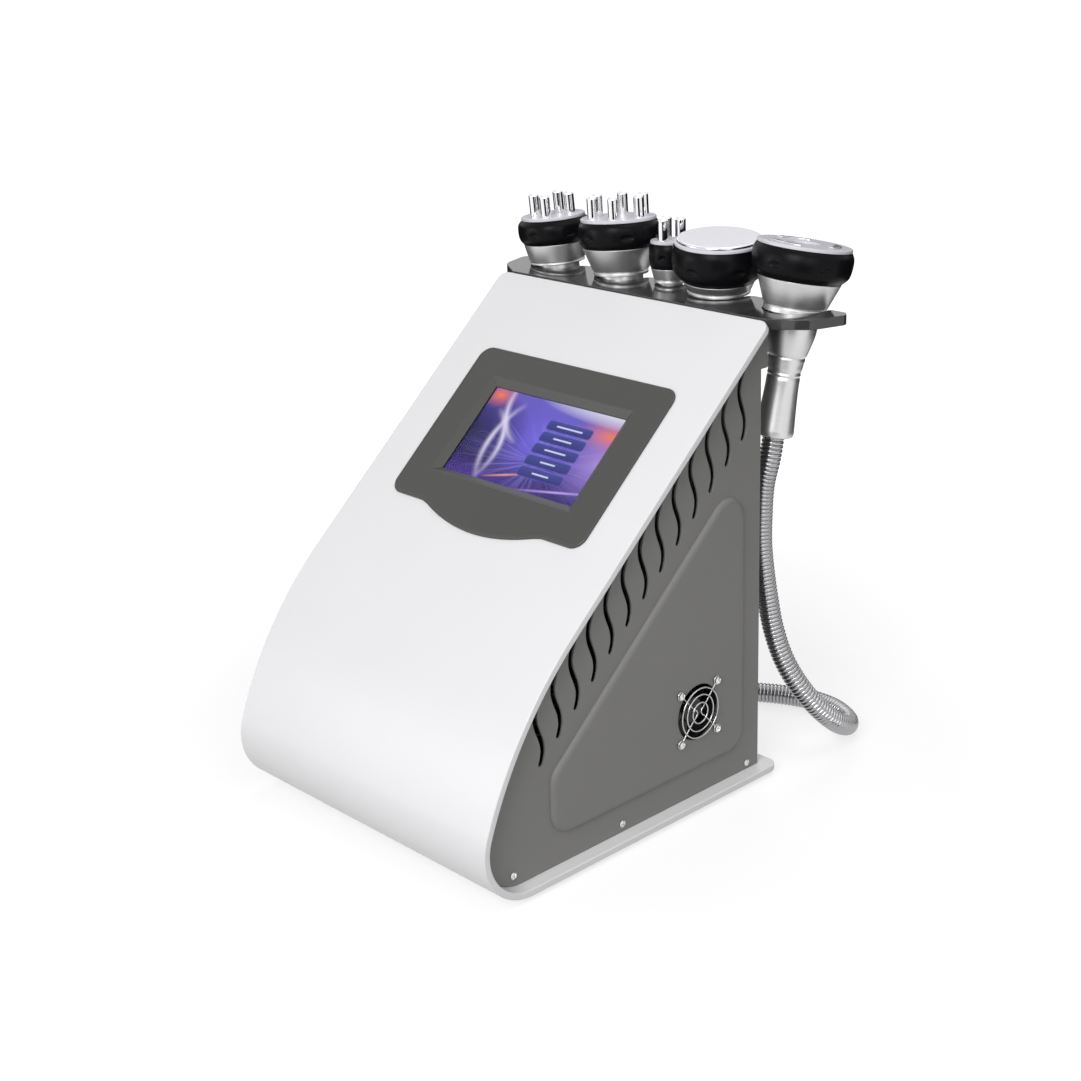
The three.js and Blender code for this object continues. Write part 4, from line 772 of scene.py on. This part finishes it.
for name, side in SIDES:
    shell = Shell()
    place = on_side(side, PANEL_X)
    flat = edge_levels(0, -PANEL, 0.45, steps=2)
    ends = [wall(shell, panel, place, flat)]
    for hole in [slot_loop(i) for i in range(SLOTS)] + bores(panel_screws):
        ends.append(wall(shell, hole, place, flat, hole=True))
    raised = []
    if side > 0:
        high = edge_levels(FIELD_RISE, FIELD_RISE - PANEL, 0.35, steps=2)
        for hole in [circle(*FAN, 27.7, 96)] + bores(fan_corners):
            raised.append(wall(shell, hole, place, high, hole=True))
    for which, base in ((0, 0), (1, -PANEL)):
        steps_up = []
        for inset, h in curve:
            steps_up.append(shell.ring([place(p.x, p.y, base + h) for p in offset(field, inset)]))
        shell.skin(steps_up)
        shell.cap(*[e[which] for e in ends], steps_up[0])
        shell.cap(steps_up[-1], *[e[which] for e in raised])
    piece(f"panel_{name}", shell, GREY, slot="grey_panel", nodes=(f"side_panel_{name}",), angle=50)


# ---- shelf

SHELF_REAR = REAR + 66.1
shelf_front = TOP_Y + SHEET * sin(SLOPE) + FIT
outline = [
    (-167.8, shelf_front), (167.8, shelf_front),
    (203.4, REAR + 22.2, 30), (214.9, SHELF_REAR - 7.6, 7.6), (207.3, SHELF_REAR),
    (-207.3, SHELF_REAR), (-214.9, SHELF_REAR - 7.6, 7.6), (-203.4, REAR + 22.2, 30),
]
NOTCHES = {"vacuum": 30.14, "cavitation": 27.25, "tripolar": 13.95, "hexa": 24.85, "quad": 25.25}
notches = []
for name, radius in NOTCHES.items():
    x, y = HANDPIECES[name].seat[:2]
    mouth = radius + (2.5 if name == "vacuum" else 5)
    inner = max(SHELF_REAR - 5, y + 1)
    notches += [(x + mouth, SHELF_REAR, 0.6), (x + radius, inner)]
    notches += [tuple(p) for p in arc(x, y, radius, 0, -pi, 40)]
    notches += [(x - radius, inner), (x - mouth, SHELF_REAR, 0.6)]
board(
    "shelf_board", rounded(outline[:5] + notches + outline[5:], steps=10), as_is, TOP_Z, SHELF_BOTTOM, 0.7,
    SHELF, slot="black_shelf", nodes=("handpiece_shelf",), angle=50,
)


# ---- screen


def on_slope(x, up, out):
    """Carries a place on the slope, from the sheet's top edge, to the frame."""
    return (x, TOP_Y + up * cos(SLOPE) - out * sin(SLOPE), TOP_Z + up * sin(SLOPE) + out * cos(SLOPE))


lip = [(79 * s, -267 - 16.5 * (1 - s * s)) for s in [k / 14 for k in range(-13, 14)]]
bezel_outline = rounded(
    [
        (-131, -89.4, 14), (-131, -267, 14), (-82, -267, 10), *lip,
        (82, -267, 10), (131, -267, 14), (131, -89.4, 14),
    ],
    steps=10,
)


def box(x, y, half_x, half_y):
    return rectangle(x - half_x, y - half_y, x + half_x, y + half_y)


rim_levels = [
    (3.4, 1.85), (3.1, 1.95), (2.7, 2.22), (2.2, 2.3), (1.5, 2.25), (0.8, 1.95), (0.3, 1.4),
    (0.05, 0.85), (0, FIT),
]
window_levels = [(1.4, 1.85), (1.2, 1.95), (0.8, 2.25), (0.3, 2.3), (0, 2.1), (-6.9, -3.2)]
window = rectangle(-95, -232.7 - 1.2, 95, -122.9 + 1.2)
well = rectangle(-94, -232.9, 94, -122.7)
bezel = Shell()
outer = wall(bezel, bezel_outline, on_slope, rim_levels)
inner = wall(bezel, window, on_slope, window_levels, hole=True)
bezel.cap(outer[0], inner[0])
under = bezel.ring([on_slope(x, y, FIT) for x, y in well])
well_foot = bezel.ring([on_slope(x, y, -3.2) for x, y in well])
bezel.cap(outer[1], under)
bezel.band(under, well_foot)
bezel.band(well_foot, inner[1])
piece("bezel_frame", bezel, DARK, slot="dark_trim", nodes=("screen_bezel",), angle=28)


def glowing(tree, colour, strength):
    look = {"Base Color": (0.01, 0.01, 0.012, 1), "Roughness": 0.25, "Specular IOR Level": 0.0}
    look.update({"Emission Color": colour, "Emission Strength": strength})
    output(tree, add(tree, "BsdfPrincipled", look))


def screen_picture():
    """A lit start screen: a violet glow, rays, warm corners, and pale ribbons and streaks."""
    material, tree = fresh("screen_picture")
    where = add(tree, "TexCoord").outputs["Generated"]
    split = add(tree, "SeparateXYZ", {"Vector": where})
    x, y = split.outputs[0], split.outputs[2]

    def op(operation, a, b=0.0):
        return calc(tree, operation, a, b)

    def distance(cx, cy, sx=1.0, sy=1.0):
        dx = op("DIVIDE", op("SUBTRACT", x, cx), sx)
        dy = op("DIVIDE", op("SUBTRACT", y, cy), sy)
        return op("POWER", op("ADD", op("MULTIPLY", dx, dx), op("MULTIPLY", dy, dy)), 0.5)

    def glow(cx, cy, sx, sy, power=1.6):
        """Light that fades from a centre to the oval round it."""
        return op("POWER", remap(tree, distance(cx, cy, sx, sy), 1.0, 0.0), power)

    def streak(off, width, power, light):
        """A line of light where a value is near nought, inside a glow."""
        near = remap(tree, op("ABSOLUTE", off), width, 0.0)
        return op("MULTIPLY", op("POWER", near, power), light)

    along = op("ADD", op("MULTIPLY", y, 0.8), op("MULTIPLY", x, 0.2))
    ramp = add(tree, "ValToRGB", {"Fac": along})
    stops = ramp.color_ramp.elements
    stops[0].color = (0.075, 0.03, 0.3, 1)
    stops[1].color = (0.16, 0.13, 0.52, 1)
    for position, colour in ((0.22, (0.035, 0.02, 0.16, 1)), (0.5, (0.07, 0.045, 0.4, 1))):
        stops.new(position).color = colour
    angle = op("ARCTAN2", op("SUBTRACT", y, 0.34), op("SUBTRACT", x, 0.6))
    fan_out = add(tree, "CombineXYZ", {"X": op("MULTIPLY", angle, 9.0), "Y": 0.3}).outputs[0]
    rays = op("POWER", remap(tree, noise(tree, fan_out, 2.2, 4.0, 0.75), 0.47, 0.72), 1.5)
    layers = [
        ((0.16, 0.12, 0.7), glow(0.5, 0.6, 0.4, 0.6, 1.1)),
        ((0.015, 0.012, 0.07), glow(0.0, 0.5, 0.42, 0.5, 0.7)),
        ((0.4, 0.26, 0.68), glow(1.0, 0.5, 0.3, 0.5, 1.3)),
        ((0.45, 0.42, 1.0), op("MULTIPLY", rays, glow(0.6, 0.36, 0.6, 0.5, 1.0))),
        ((0.95, 0.2, 0.06), glow(0.06, 0.93, 0.16, 0.17)),
        ((0.9, 0.2, 0.1), glow(0.97, 0.79, 0.3, 0.2)),
        ((0.9, 0.88, 0.96), glow(0.95, 1.06, 0.62, 0.2, 0.8)),
    ]
    for cx, cy, radius, glow_x, glow_y in (
        (0.58, 0.42, 0.4, 0.2, 0.46), (-0.02, 0.3, 0.3, 0.27, 0.5), (0.46, 1.0, 0.31, 0.2, 0.72),
    ):
        off = op("SUBTRACT", distance(cx, cy, 1.0, 1.79), radius)
        ribbon = streak(off, 0.035, 1.6, glow(glow_x, glow_y, 0.2, 0.5, 0.8))
        layers.append(((0.78, 0.72, 0.95), ribbon))
    for tint, cx, cy, rise, width, oval in (
        ((1.0, 0.42, 0.2), 0.33, 0.07, 0.5, 0.018, (0.44, 0.12, 0.16, 0.3)),
        ((0.62, 0.42, 1.0), 0.62, 0.03, 0.32, 0.02, (0.84, 0.1, 0.3, 0.3)),
    ):
        off = op("SUBTRACT", op("SUBTRACT", y, cy), op("MULTIPLY", op("SUBTRACT", x, cx), rise))
        layers.append((tint, streak(off, width, 1.0, glow(*oval, 0.7))))
    colour = ramp.outputs[0]
    for tint, amount in layers:
        colour = mixed(tree, colour, (*tint, 1), amount)
    glowing(tree, colour, 0.95)
    return material


def lit(name, low, high):
    """A lit key on the screen, shaded from its lower to its upper edge."""
    material, tree = fresh(name)
    where = add(tree, "TexCoord").outputs["Generated"]
    height = add(tree, "SeparateXYZ", {"Vector": where}).outputs[2]
    ramp = add(tree, "ValToRGB", {"Fac": height})
    ramp.color_ramp.elements[0].color = low
    ramp.color_ramp.elements[1].color = high
    glowing(tree, ramp.outputs[0], 0.9)
    return material


PICTURE = screen_picture()
KEY = lit("screen_key", (0.03, 0.035, 0.2, 1), (0.06, 0.07, 0.34, 1))
KEY_MARK = lit("screen_mark", (0.62, 0.64, 0.86, 1), (0.7, 0.72, 0.92, 1))
KEY_EDGE = lit("screen_key_edge", (0.1, 0.09, 0.45, 1), (0.22, 0.2, 0.7, 1))
KEY_X, FIRST_KEY, KEY_PITCH = 30.5, -152.5, 13.3

board(
    "display_block", rounded(well, 1, 3), on_slope, -5.75, -10.6, 0.2, BLACK,
    slot="screen", nodes=("display_panel",),
)
shown = rectangle(-88.4, -227.3, 88.4, -128.3)
board("display_picture", shown, on_slope, -5.6, -5.72, 0.01, PICTURE, slot="screen")
for i, half in enumerate((17, 12, 14, 10, 11)):
    key_y = FIRST_KEY - KEY_PITCH * i
    for suffix, grow, top, finish in (("edge", 0.45, -5.5, KEY_EDGE), ("key", 0, -5.44, KEY)):
        loop = rounded(box(KEY_X, key_y, 29 + grow, 5.2 + grow), 3 + grow, 6)
        board(f"screen_{suffix}_{i + 1}", loop, on_slope, top, top - 0.05, 0.01, finish, slot="screen")
    mark = rounded(box(KEY_X, key_y, half, 0.9), 0.85, 4)
    board(f"screen_mark_{i + 1}", mark, on_slope, -5.4, -5.43, 0.01, KEY_MARK, slot="screen")

GLASS, tree = fresh("touch_glass")
clear = {"Base Color": (1, 1, 1, 1), "Roughness": 0.02, "IOR": 1.12, "Transmission Weight": 1.0}
output(tree, add(tree, "BsdfPrincipled", clear))


# ---- fan

FAN_PLACE = at(161.4, *FAN) @ spun(pi / 2, "Y")
BLADES = 7
frame_top = RISE - FIT
hub_foot = frame_top - 25 + 2.5 + FIT
hub_top = frame_top - 1
impeller = Shell()
lathe(impeller, turning([(0, hub_top), (13, hub_top, 2), (13, hub_foot, 0.6), (0, hub_foot)], 5), 64)


def blade_point(start, r, c, thick):
    """A point of a blade at a radius and a share c of its chord, on the face thick or -thick."""
    turn = start + radians(44) * (c - 0.5) + radians(14) * (r - 13) / 14
    turn += thick * 0.6 / r * (1 - abs(2 * c - 1) ** 3 * 0.8)
    height = hub_foot + 1 + (hub_top - hub_foot - 2.2) * (c + 0.16 * sin(pi * c))
    return (r * cos(turn), r * sin(turn), min(height, hub_top - 0.3))


for k in range(BLADES):
    faces = []
    for thick in (-1, 1):
        rows = []
        for i in range(9):
            points = [blade_point(2 * pi * k / BLADES, 12.6 + 14.8 * i / 8, j / 8, thick) for j in range(9)]
            rows.append(impeller.ring(points))
        faces.append(rows)
        impeller.skin(rows, closed=False)
    impeller.band(border(faces[0]), border(faces[1]))
piece(
    "fan_rotor", impeller, BLACK, body="impeller", slot="black_plastic", nodes=("fan_impeller",),
    place=FAN_PLACE, angle=40,
)

CORNER_LOOP = 3.6  # radius of the wire's loop round a screw
guard = Shell()
wire_z = PANEL + FIELD_RISE + FIT + 0.9
ring_z = wire_z + 1.44
for radius in (24.8, 18.1, 10.3):
    tube(guard, [Vector((p.x, p.y, ring_z)) for p in circle(0, 0, radius, 72)], 0.75, 10, closed=True)
corner = Vector((FAN_HALF, FAN_HALF))
for sign in (-1, 1):
    arm = [tuple(corner), (14, 15.2), (7, 8.6), (2.5, 3.6)]
    bent = [(-x, y) for x, y in arm] + [(0, 2.4)] + arm[::-1]
    run = spline([Vector((x, sign * y, 0)) for x, y in bent], 1)
    run = [p for p in run if (Vector((abs(p.x), abs(p.y))) - corner).length > CORNER_LOOP - 0.2]
    tube(guard, [Vector((p.x, p.y, wire_z)) for p in run], 0.72, 10)
for a in (-1, 1):
    for b in (-1, 1):
        ends = circle(a * FAN_HALF, b * FAN_HALF, CORNER_LOOP, 32)
        tube(guard, [Vector((p.x, p.y, wire_z)) for p in ends], 0.9, 10, closed=True)
piece("guard_wires", guard, WIRE, slot="chrome_guard", nodes=("fan_guard",), place=FAN_PLACE, angle=60)


HEAD, HEAD_TOP, SHANK = 3.6, 2.0, 8
screw_profile = [(0, HEAD_TOP - 1.3), *[(HEAD * i / 12, HEAD_TOP) for i in range(1, 13)]]
screw_profile += [(HEAD, 0), (1.8, 0), (1.8, -SHANK), (0, -SHANK)]


def cross_recess(radius, height, angle):
    """Domes the top of a screw's head and sinks a cross into it."""
    if height < HEAD_TOP:
        return radius, height
    near, far = sorted((abs(radius * cos(angle)), abs(radius * sin(angle))))
    dip = 1 - max(max(near - 0.34, 0) / 0.28, max(far - 2.0, 0) / 0.5)
    return radius, height * (1 - 0.55 * (radius / HEAD) ** 2.6) - 1.2 * max(0.0, dip)


def screw(name, node, place):
    turned(
        name, screw_profile, 48, BRIGHT, warp=cross_recess,
        slot="steel_screws", nodes=(node,), place=place, angle=45,
    )


for i, (a, b) in enumerate([(-1, -1), (1, -1), (1, 1), (-1, 1)]):
    spot = FAN_PLACE @ at(a * FAN_HALF, b * FAN_HALF, wire_z + 1.2) @ spun(0.5 + i)
    screw(f"fan_screw_{i + 1}", f"guard_screw_{i + 1}", spot)
for i, (y, z) in enumerate(panel_screws):
    for name, side in SIDES:
        spot = at(side * 164.2, y, z) @ spun(side * pi / 2, "Y") @ spun(0.3 + 1.1 * i)
        screw(f"edge_screw_{name}_{i + 1}", f"panel_screw_{name}_{i + 1}", spot)

foot_profile = turning(
    [(0, 0.6), (4.5, 0.6, 0.5), (5.2, 0, 0.4), (8.8, 0, 1), (9.9, 1.25, 1), (11, 4.7, 0.4), (0, 4.7)]
)
for end, y in (("front", REAR - 283.68), ("rear", REAR - 17.3)):
    for side_name, side in SIDES:
        name = f"{end}_{side_name}"
        turned(
            f"rubber_{name}", foot_profile, 48, RUBBER,
            slot="rubber_feet", nodes=(f"foot_{name}",), place=at(side * 144, y, 0),
        )


# ---- handpieces


def smooth_profile(points, step=1.2):
    return [tuple(p[:2]) for p in spline([Vector((*p, 0)) for p in points], step)]


def dimple(sizes, phase):
    """Shallow scallops round a collar, each with a sharper oval in its lower part."""
    middle = (sizes.cone + sizes.height - FACE) / 2 - 0.5
    tall = sizes.height - sizes.cone
    scale = min(1, sizes.bulge / 38)

    def warp(radius, height, angle):
        if radius < sizes.core + 1.5:
            return radius, height
        turn = (angle - phase + pi / 6) % (pi / 3) - pi / 6
        across = turn * sizes.bulge
        wide = (across / (9.5 * scale)) ** 2 + ((height - middle) / (tall * 0.3)) ** 2
        dip = 0.55 * max(0, 1 - wide) ** 2
        up = height - (middle - 0.8)
        lens = (across / (7.4 * scale)) ** 2 + (up / 3.3) ** 2
        dip += 1.9 * (1 - lens) ** 0.8 if lens < 1 else 0
        return radius - dip, height

    return warp


PLATE_DEPTH = 1.6  # thickness of the carrier under a face


def make_handpiece(name, phase=0.0):
    """The handle and the collar. Returns the sizes and what the head's other pieces share."""
    sizes = HANDPIECES[name]
    shared = dict(body=f"{name}_handpiece", place=seat_of(name))
    waist, flange, neck, cone, cone_top = sizes.waist, sizes.flange, sizes.neck, sizes.cone, sizes.cone_top
    bulge, face, handle, grip, core = sizes.bulge, sizes.face, sizes.handle, sizes.grip, sizes.core
    flare = (cone_top - waist) / cone
    plug_top = sizes.height - FACE - FIT - PLATE_DEPTH - 2 * FIT
    head = [
        (0, plug_top), (core, plug_top), (core, cone), (cone_top, cone, 0.5),
        (waist + flare * 2.4, 2.4, 0.3), (waist - 0.7 + flare * 1.6, 1.5, 0.3),
        (waist - 0.7, 0.9, 0.2), (waist, 0, 0.6), (waist, -flange, 0.5), (neck, -flange, 0.3),
    ]
    lower = [
        (neck, -flange), (neck, -handle * 0.18), (grip * 1.08, -handle * 0.42), (grip, -handle * 0.56),
        (grip * 1.08, -handle * 0.8), (grip * 1.17, -handle + grip * 0.3),
    ]
    shaft = smooth_profile(lower, 2)[1:]
    if name == "vacuum":
        cuts = []
        for r, z in shaft:
            dip = sum(max(0, 1 - ((z - groove) / 1.5) ** 2) * 0.9 for groove in (-46, -60, -65))
            cuts.append((r - dip, z))
        shaft = cuts
    end = [(grip * 1.13, -handle, 2.2), (grip * 0.75, -handle, 0.8), (grip * 0.72, -handle + 0.1)]
    foot = turning([shaft[-1], *end, (0, -handle + 0.1)], 5)[1:]
    turned(
        f"{name}_grip", turning(head) + [Vector(p) for p in shaft] + foot, 128, ALLOY,
        slot="satin_aluminium", nodes=(f"{name}_handle",), angle=38, **shared,
    )

    low = cone + FIT
    top = sizes.height - FACE - FIT
    tall = top - low
    outer = [
        (cone_top, low), (cone_top + (bulge - cone_top) * 0.7, low + tall * 0.2),
        (bulge, low + tall * 0.52), (face + (bulge - face) * 0.75, low + tall * 0.84), (face, top),
    ]
    ring = [(core + FIT, low), (cone_top - 0.5, low), *smooth_profile(outer, 0.55)]
    ring += [(face - 0.6, top), (core + FIT, top)]
    turned(
        f"{name}_band", ring, 288, COLLAR, warp=dimple(sizes, phase), ring=True,
        slot="black_collar", nodes=(f"{name}_collar",), angle=48, **shared,
    )
    return sizes, shared


def make_electrodes(name, phase):
    sizes, shared = make_handpiece(name, phase)
    height, pins, radius = sizes.height, sizes.pins, sizes.circle
    turns = [radians(sizes.spin) + 2 * pi * i / pins for i in range(pins)]
    spots = [(radius * cos(a), radius * sin(a)) for a in turns]
    shell = Shell()
    bore = edge_levels(height, height - FACE, 0.35, steps=2)
    holes = [(circle(x, y, 5.55, 32), bore) for x, y in spots]
    rim = edge_levels(height, height - FACE, 1.1, 0.3, steps=5)
    pierced(shell, circle(0, 0, sizes.face, 96), rim, holes, as_is)
    piece(f"{name}_disc", shell, FACE_WHITE, slot="white_face", nodes=(f"{name}_face",), **shared)
    shell = Shell()
    plate_foot = height - FACE - FIT - PLATE_DEPTH
    slab(shell, circle(0, 0, sizes.core, 64), [], as_is, plate_foot + PLATE_DEPTH, plate_foot, 0.2)
    top = height + 22.6
    dome = [(5.25 * cos(a), top - 3.4 + 3.4 * sin(a)) for a in spread(0, pi / 2, 8)]
    dome[-1] = (0, top)
    for x, y in spots:
        pin = Shell()
        lathe(pin, [(0, plate_foot + 0.4), (5.25, plate_foot + 0.4), *dome], 40)
        first = len(shell.points)
        shell.points += [p + Vector((x, y, 0)) for p in pin.points]
        shell.faces += [tuple(i + first for i in f) for f in pin.faces]
    piece(
        f"{name}_probes", shell, CHROME,
        slot="chrome_electrodes", nodes=(f"{name}_pins",), angle=40, **shared,
    )


for name, phase in (("quad", -78), ("hexa", -35), ("tripolar", -70)):
    make_electrodes(name, radians(phase))

sizes, shared = make_handpiece("cavitation", radians(-84))
height, face, disc = sizes.height, sizes.face, sizes.disc
low = height - FACE
rim = [(disc + FIT, low), (face, low, 0.2), (face, height - 0.8, 1.0), (disc + FIT, height, 0.2)]
turned(
    "cavitation_rim", rounded(rim, steps=4), 128, FACE_WHITE, ring=True,
    slot="white_face", nodes=("cavitation_ring",), **shared,
)
top = height + FACE * 0.75
head = [
    (0, low - PLATE_DEPTH), (12, low - PLATE_DEPTH, 0.3), (12, low), (disc, low, 0.3),
    (disc, top, 1.6), (disc - 5, top + 0.05), (0, top + 0.15),
]
turned(
    "cavitation_head", turning(head, 6), 160, PLATE,
    slot="chrome_electrodes", nodes=("cavitation_disc",), **shared,
)

sizes, shared = make_handpiece("vacuum", radians(-82))
height, face, port = sizes.height, sizes.face, sizes.port
thirds = [2 * pi * i / 3 + pi / 6 for i in range(3)]


def bent_strip(middle, inner, outer, turn):
    first, last = middle - turn / 2, middle + turn / 2
    return arc(0, 0, outer, first, last, 16) + arc(0, 0, inner, last, first, 16)


shell = Shell()
opening = edge_levels(height, height - FACE, 0.4, 0.2, steps=3)
holes = [(circle(0, 0, port, 64), edge_levels(height, height - FACE, 1.4, 0.2, steps=5))]
holes += [(bent_strip(turn, 26.2, 33.8, radians(62) + 0.02), opening) for turn in thirds]
pierced(shell, circle(0, 0, face, 128), edge_levels(height, height - FACE, 1.2, 0.3, steps=5), holes, as_is)
piece("vacuum_disc", shell, FACE_WHITE, slot="white_face", nodes=("vacuum_face",), **shared)
board(
    "vacuum_screen", circle(0, 0, port - 0.1, 64), as_is, height - 1.6, height - 3.1, 0.1, FACE_WHITE,
    holes=[circle(8 * cos(a), 8 * sin(a), 1.1, 16) for a in thirds], slot="white_face", **shared,
)
shell = Shell()
plate_foot = height - FACE - FIT - PLATE_DEPTH
bore = circle(0, 0, port, 64)
slab(shell, circle(0, 0, 33.5, 96), [bore], as_is, plate_foot + PLATE_DEPTH, plate_foot, 0.1)
for turn in thirds:
    loop = bent_strip(turn, 26.5, 33.5, radians(62))
    slab(shell, loop, [], as_is, height + 1, plate_foot + 0.4, 0.7)
piece("vacuum_plates", shell, PLATE, slot="chrome_electrodes", nodes=("vacuum_electrodes",), **shared)


# ---- rear fittings

SOCKET_PITCH, SOCKET_Z = 52, 190
# Carries a turned piece to the rear plane, with its axis pointing out of it
BEHIND = at(0, REAR, 0) @ Matrix(((-1, 0, 0, 0), (0, 0, 1, 0), (0, 1, 0, 0), (0, 0, 0, 1)))
for i, name in enumerate(("quad", "hexa", "tripolar", "cavitation", "vacuum")):
    scale = 1.5 if name == "vacuum" else 1
    ring, bore, barrel = 12 * scale, 7.5 * scale, 9 * scale
    profile = [
        (0, -16), (barrel, -16, 0.5), (barrel, FIT), (ring, FIT, 0.3), (ring, 3, 0.8), (barrel, 3, 0.3),
        (barrel, 6, 0.6), (bore, 6, 0.6), (bore, -6, 0.3), (0, -6),
    ]
    turned(
        f"{name}_jack", turning(profile), 72, STEEL, slot="steel_sockets",
        nodes=(f"{name}_socket",), place=BEHIND @ at((i - 2) * SOCKET_PITCH, SOCKET_Z, 0),
    )

for node, finish in {
    "rear_panel": GREY, "shelf_rail": DARK, "touch_glass": GLASS, "main_board": BOARD, "fan_frame": BLACK,
    "power_supply": INNER, "ultrasonic_driver": INNER, "vacuum_pump": INNER, "power_inlet": BLACK,
    "rocker_switch": BLACK,
}.items():
    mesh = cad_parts[node].data
    mesh.materials.clear()
    mesh.materials.append(finish)


# ---- room and light


def seen(tree):
    """1 on rays from the camera, in a mirror or through glass, and 0 on rays that light."""
    path = add(tree, "LightPath").outputs
    direct = calc(tree, "MAXIMUM", path["Is Camera Ray"], path["Is Glossy Ray"])
    return calc(tree, "MAXIMUM", direct, path["Is Transmission Ray"])


def staged(name, points, faces, material):
    """A thing of the room, with its points in metres. It is no part of the machine."""
    mesh = bpy.data.meshes.new(name)
    mesh.from_pydata(points, [], faces)
    mesh.materials.append(material)
    made = bpy.data.objects.new(name, mesh)
    link(made)
    return made


# The floor is pale and matt, and shines for the rays that see it, more so far out
floor_look, tree = fresh("floor")
where = add(tree, "TexCoord").outputs["Object"]
far = add(tree, "VectorMath", {0: where}, operation="LENGTH").outputs["Value"]
strength = calc(tree, "MULTIPLY", seen(tree), remap(tree, far, 0.4, 1.2, 0.7, 0.95))
matt = add(tree, "BsdfDiffuse", {"Color": (0.4, 0.4, 0.4, 1)})
shine = add(tree, "Emission", {"Strength": strength})
output(tree, add(tree, "AddShader", {0: matt.outputs[0], 1: shine.outputs[0]}))
staged("floor", [(x, y, 0) for x, y in rectangle(-9, -9, 9, 9)], [(0, 1, 2, 3)], floor_look)

world = bpy.data.worlds.new("studio")
bpy.context.scene.world = world
world.use_nodes = True
tree = world.node_tree
tree.nodes.clear()
strength = remap(tree, seen(tree), 0.0, 1.0, 0.27, 1.0)
back = add(tree, "Background", {"Color": (1, 1, 1, 1), "Strength": strength})
output(tree, back, "World")


def lamp(name, place, target, size, power):
    light = bpy.data.lights.new(name, "AREA")
    light.shape = "RECTANGLE"
    light.size, light.size_y = size
    light.energy = power
    made = bpy.data.objects.new(name, light)
    made.location = place
    made.rotation_euler = (Vector(target) - Vector(place)).to_track_quat("-Z", "Y").to_euler()
    link(made)


lamp("key", (1.0, -2.1, 1.6), (0, 0, 0.25), (1.2, 1.2), 36)
lamp("left", (-1.3, -1.9, 0.6), (0, 0, 0.15), (0.9, 0.7), 8)
lamp("rear", (-1.2, 1.5, 2.2), (0, 0, 0.25), (1.2, 1.0), 9)
lamp("fill", (1.9, -1.0, 1.0), (0.15, 0, 0.2), (0.9, 0.9), 7)
lamp("top", (0.9, 0.2, 2.3), (0, 0, 0.3), (1.4, 1.2), 8)

CARD_REACH = 2400  # from the machine's middle to where a card stands up
black_card, tree = fresh("black_card")
output(tree, add(tree, "BsdfDiffuse", {"Color": (0.02, 0.02, 0.02, 1)}))


def around(azimuth, distance, height):
    """A place at an angle seen from above, counted from the front towards the right."""
    a = radians(azimuth)
    return (distance * sin(a), -distance * cos(a), height)


def card(name, first, last, near_end, high):
    """Black card that only reflections see: it lies on the floor and stands up at its far end."""
    shell = Shell()
    turns = spread(first, last, 24)
    bends = ((near_end, 4), (CARD_REACH, 4), (CARD_REACH, high))
    rows = [shell.ring([around(a, r, h) for a in turns]) for r, h in bends]
    shell.skin(rows, closed=False)
    made = staged(name, [p * MM for p in shell.points], shell.faces, black_card)
    for kind in ("camera", "diffuse", "transmission", "volume_scatter", "shadow"):
        setattr(made, f"visible_{kind}", False)


card("card_front", 26, 68, 1050, 900)
card("card_rear", 127, 300, 950, 800)
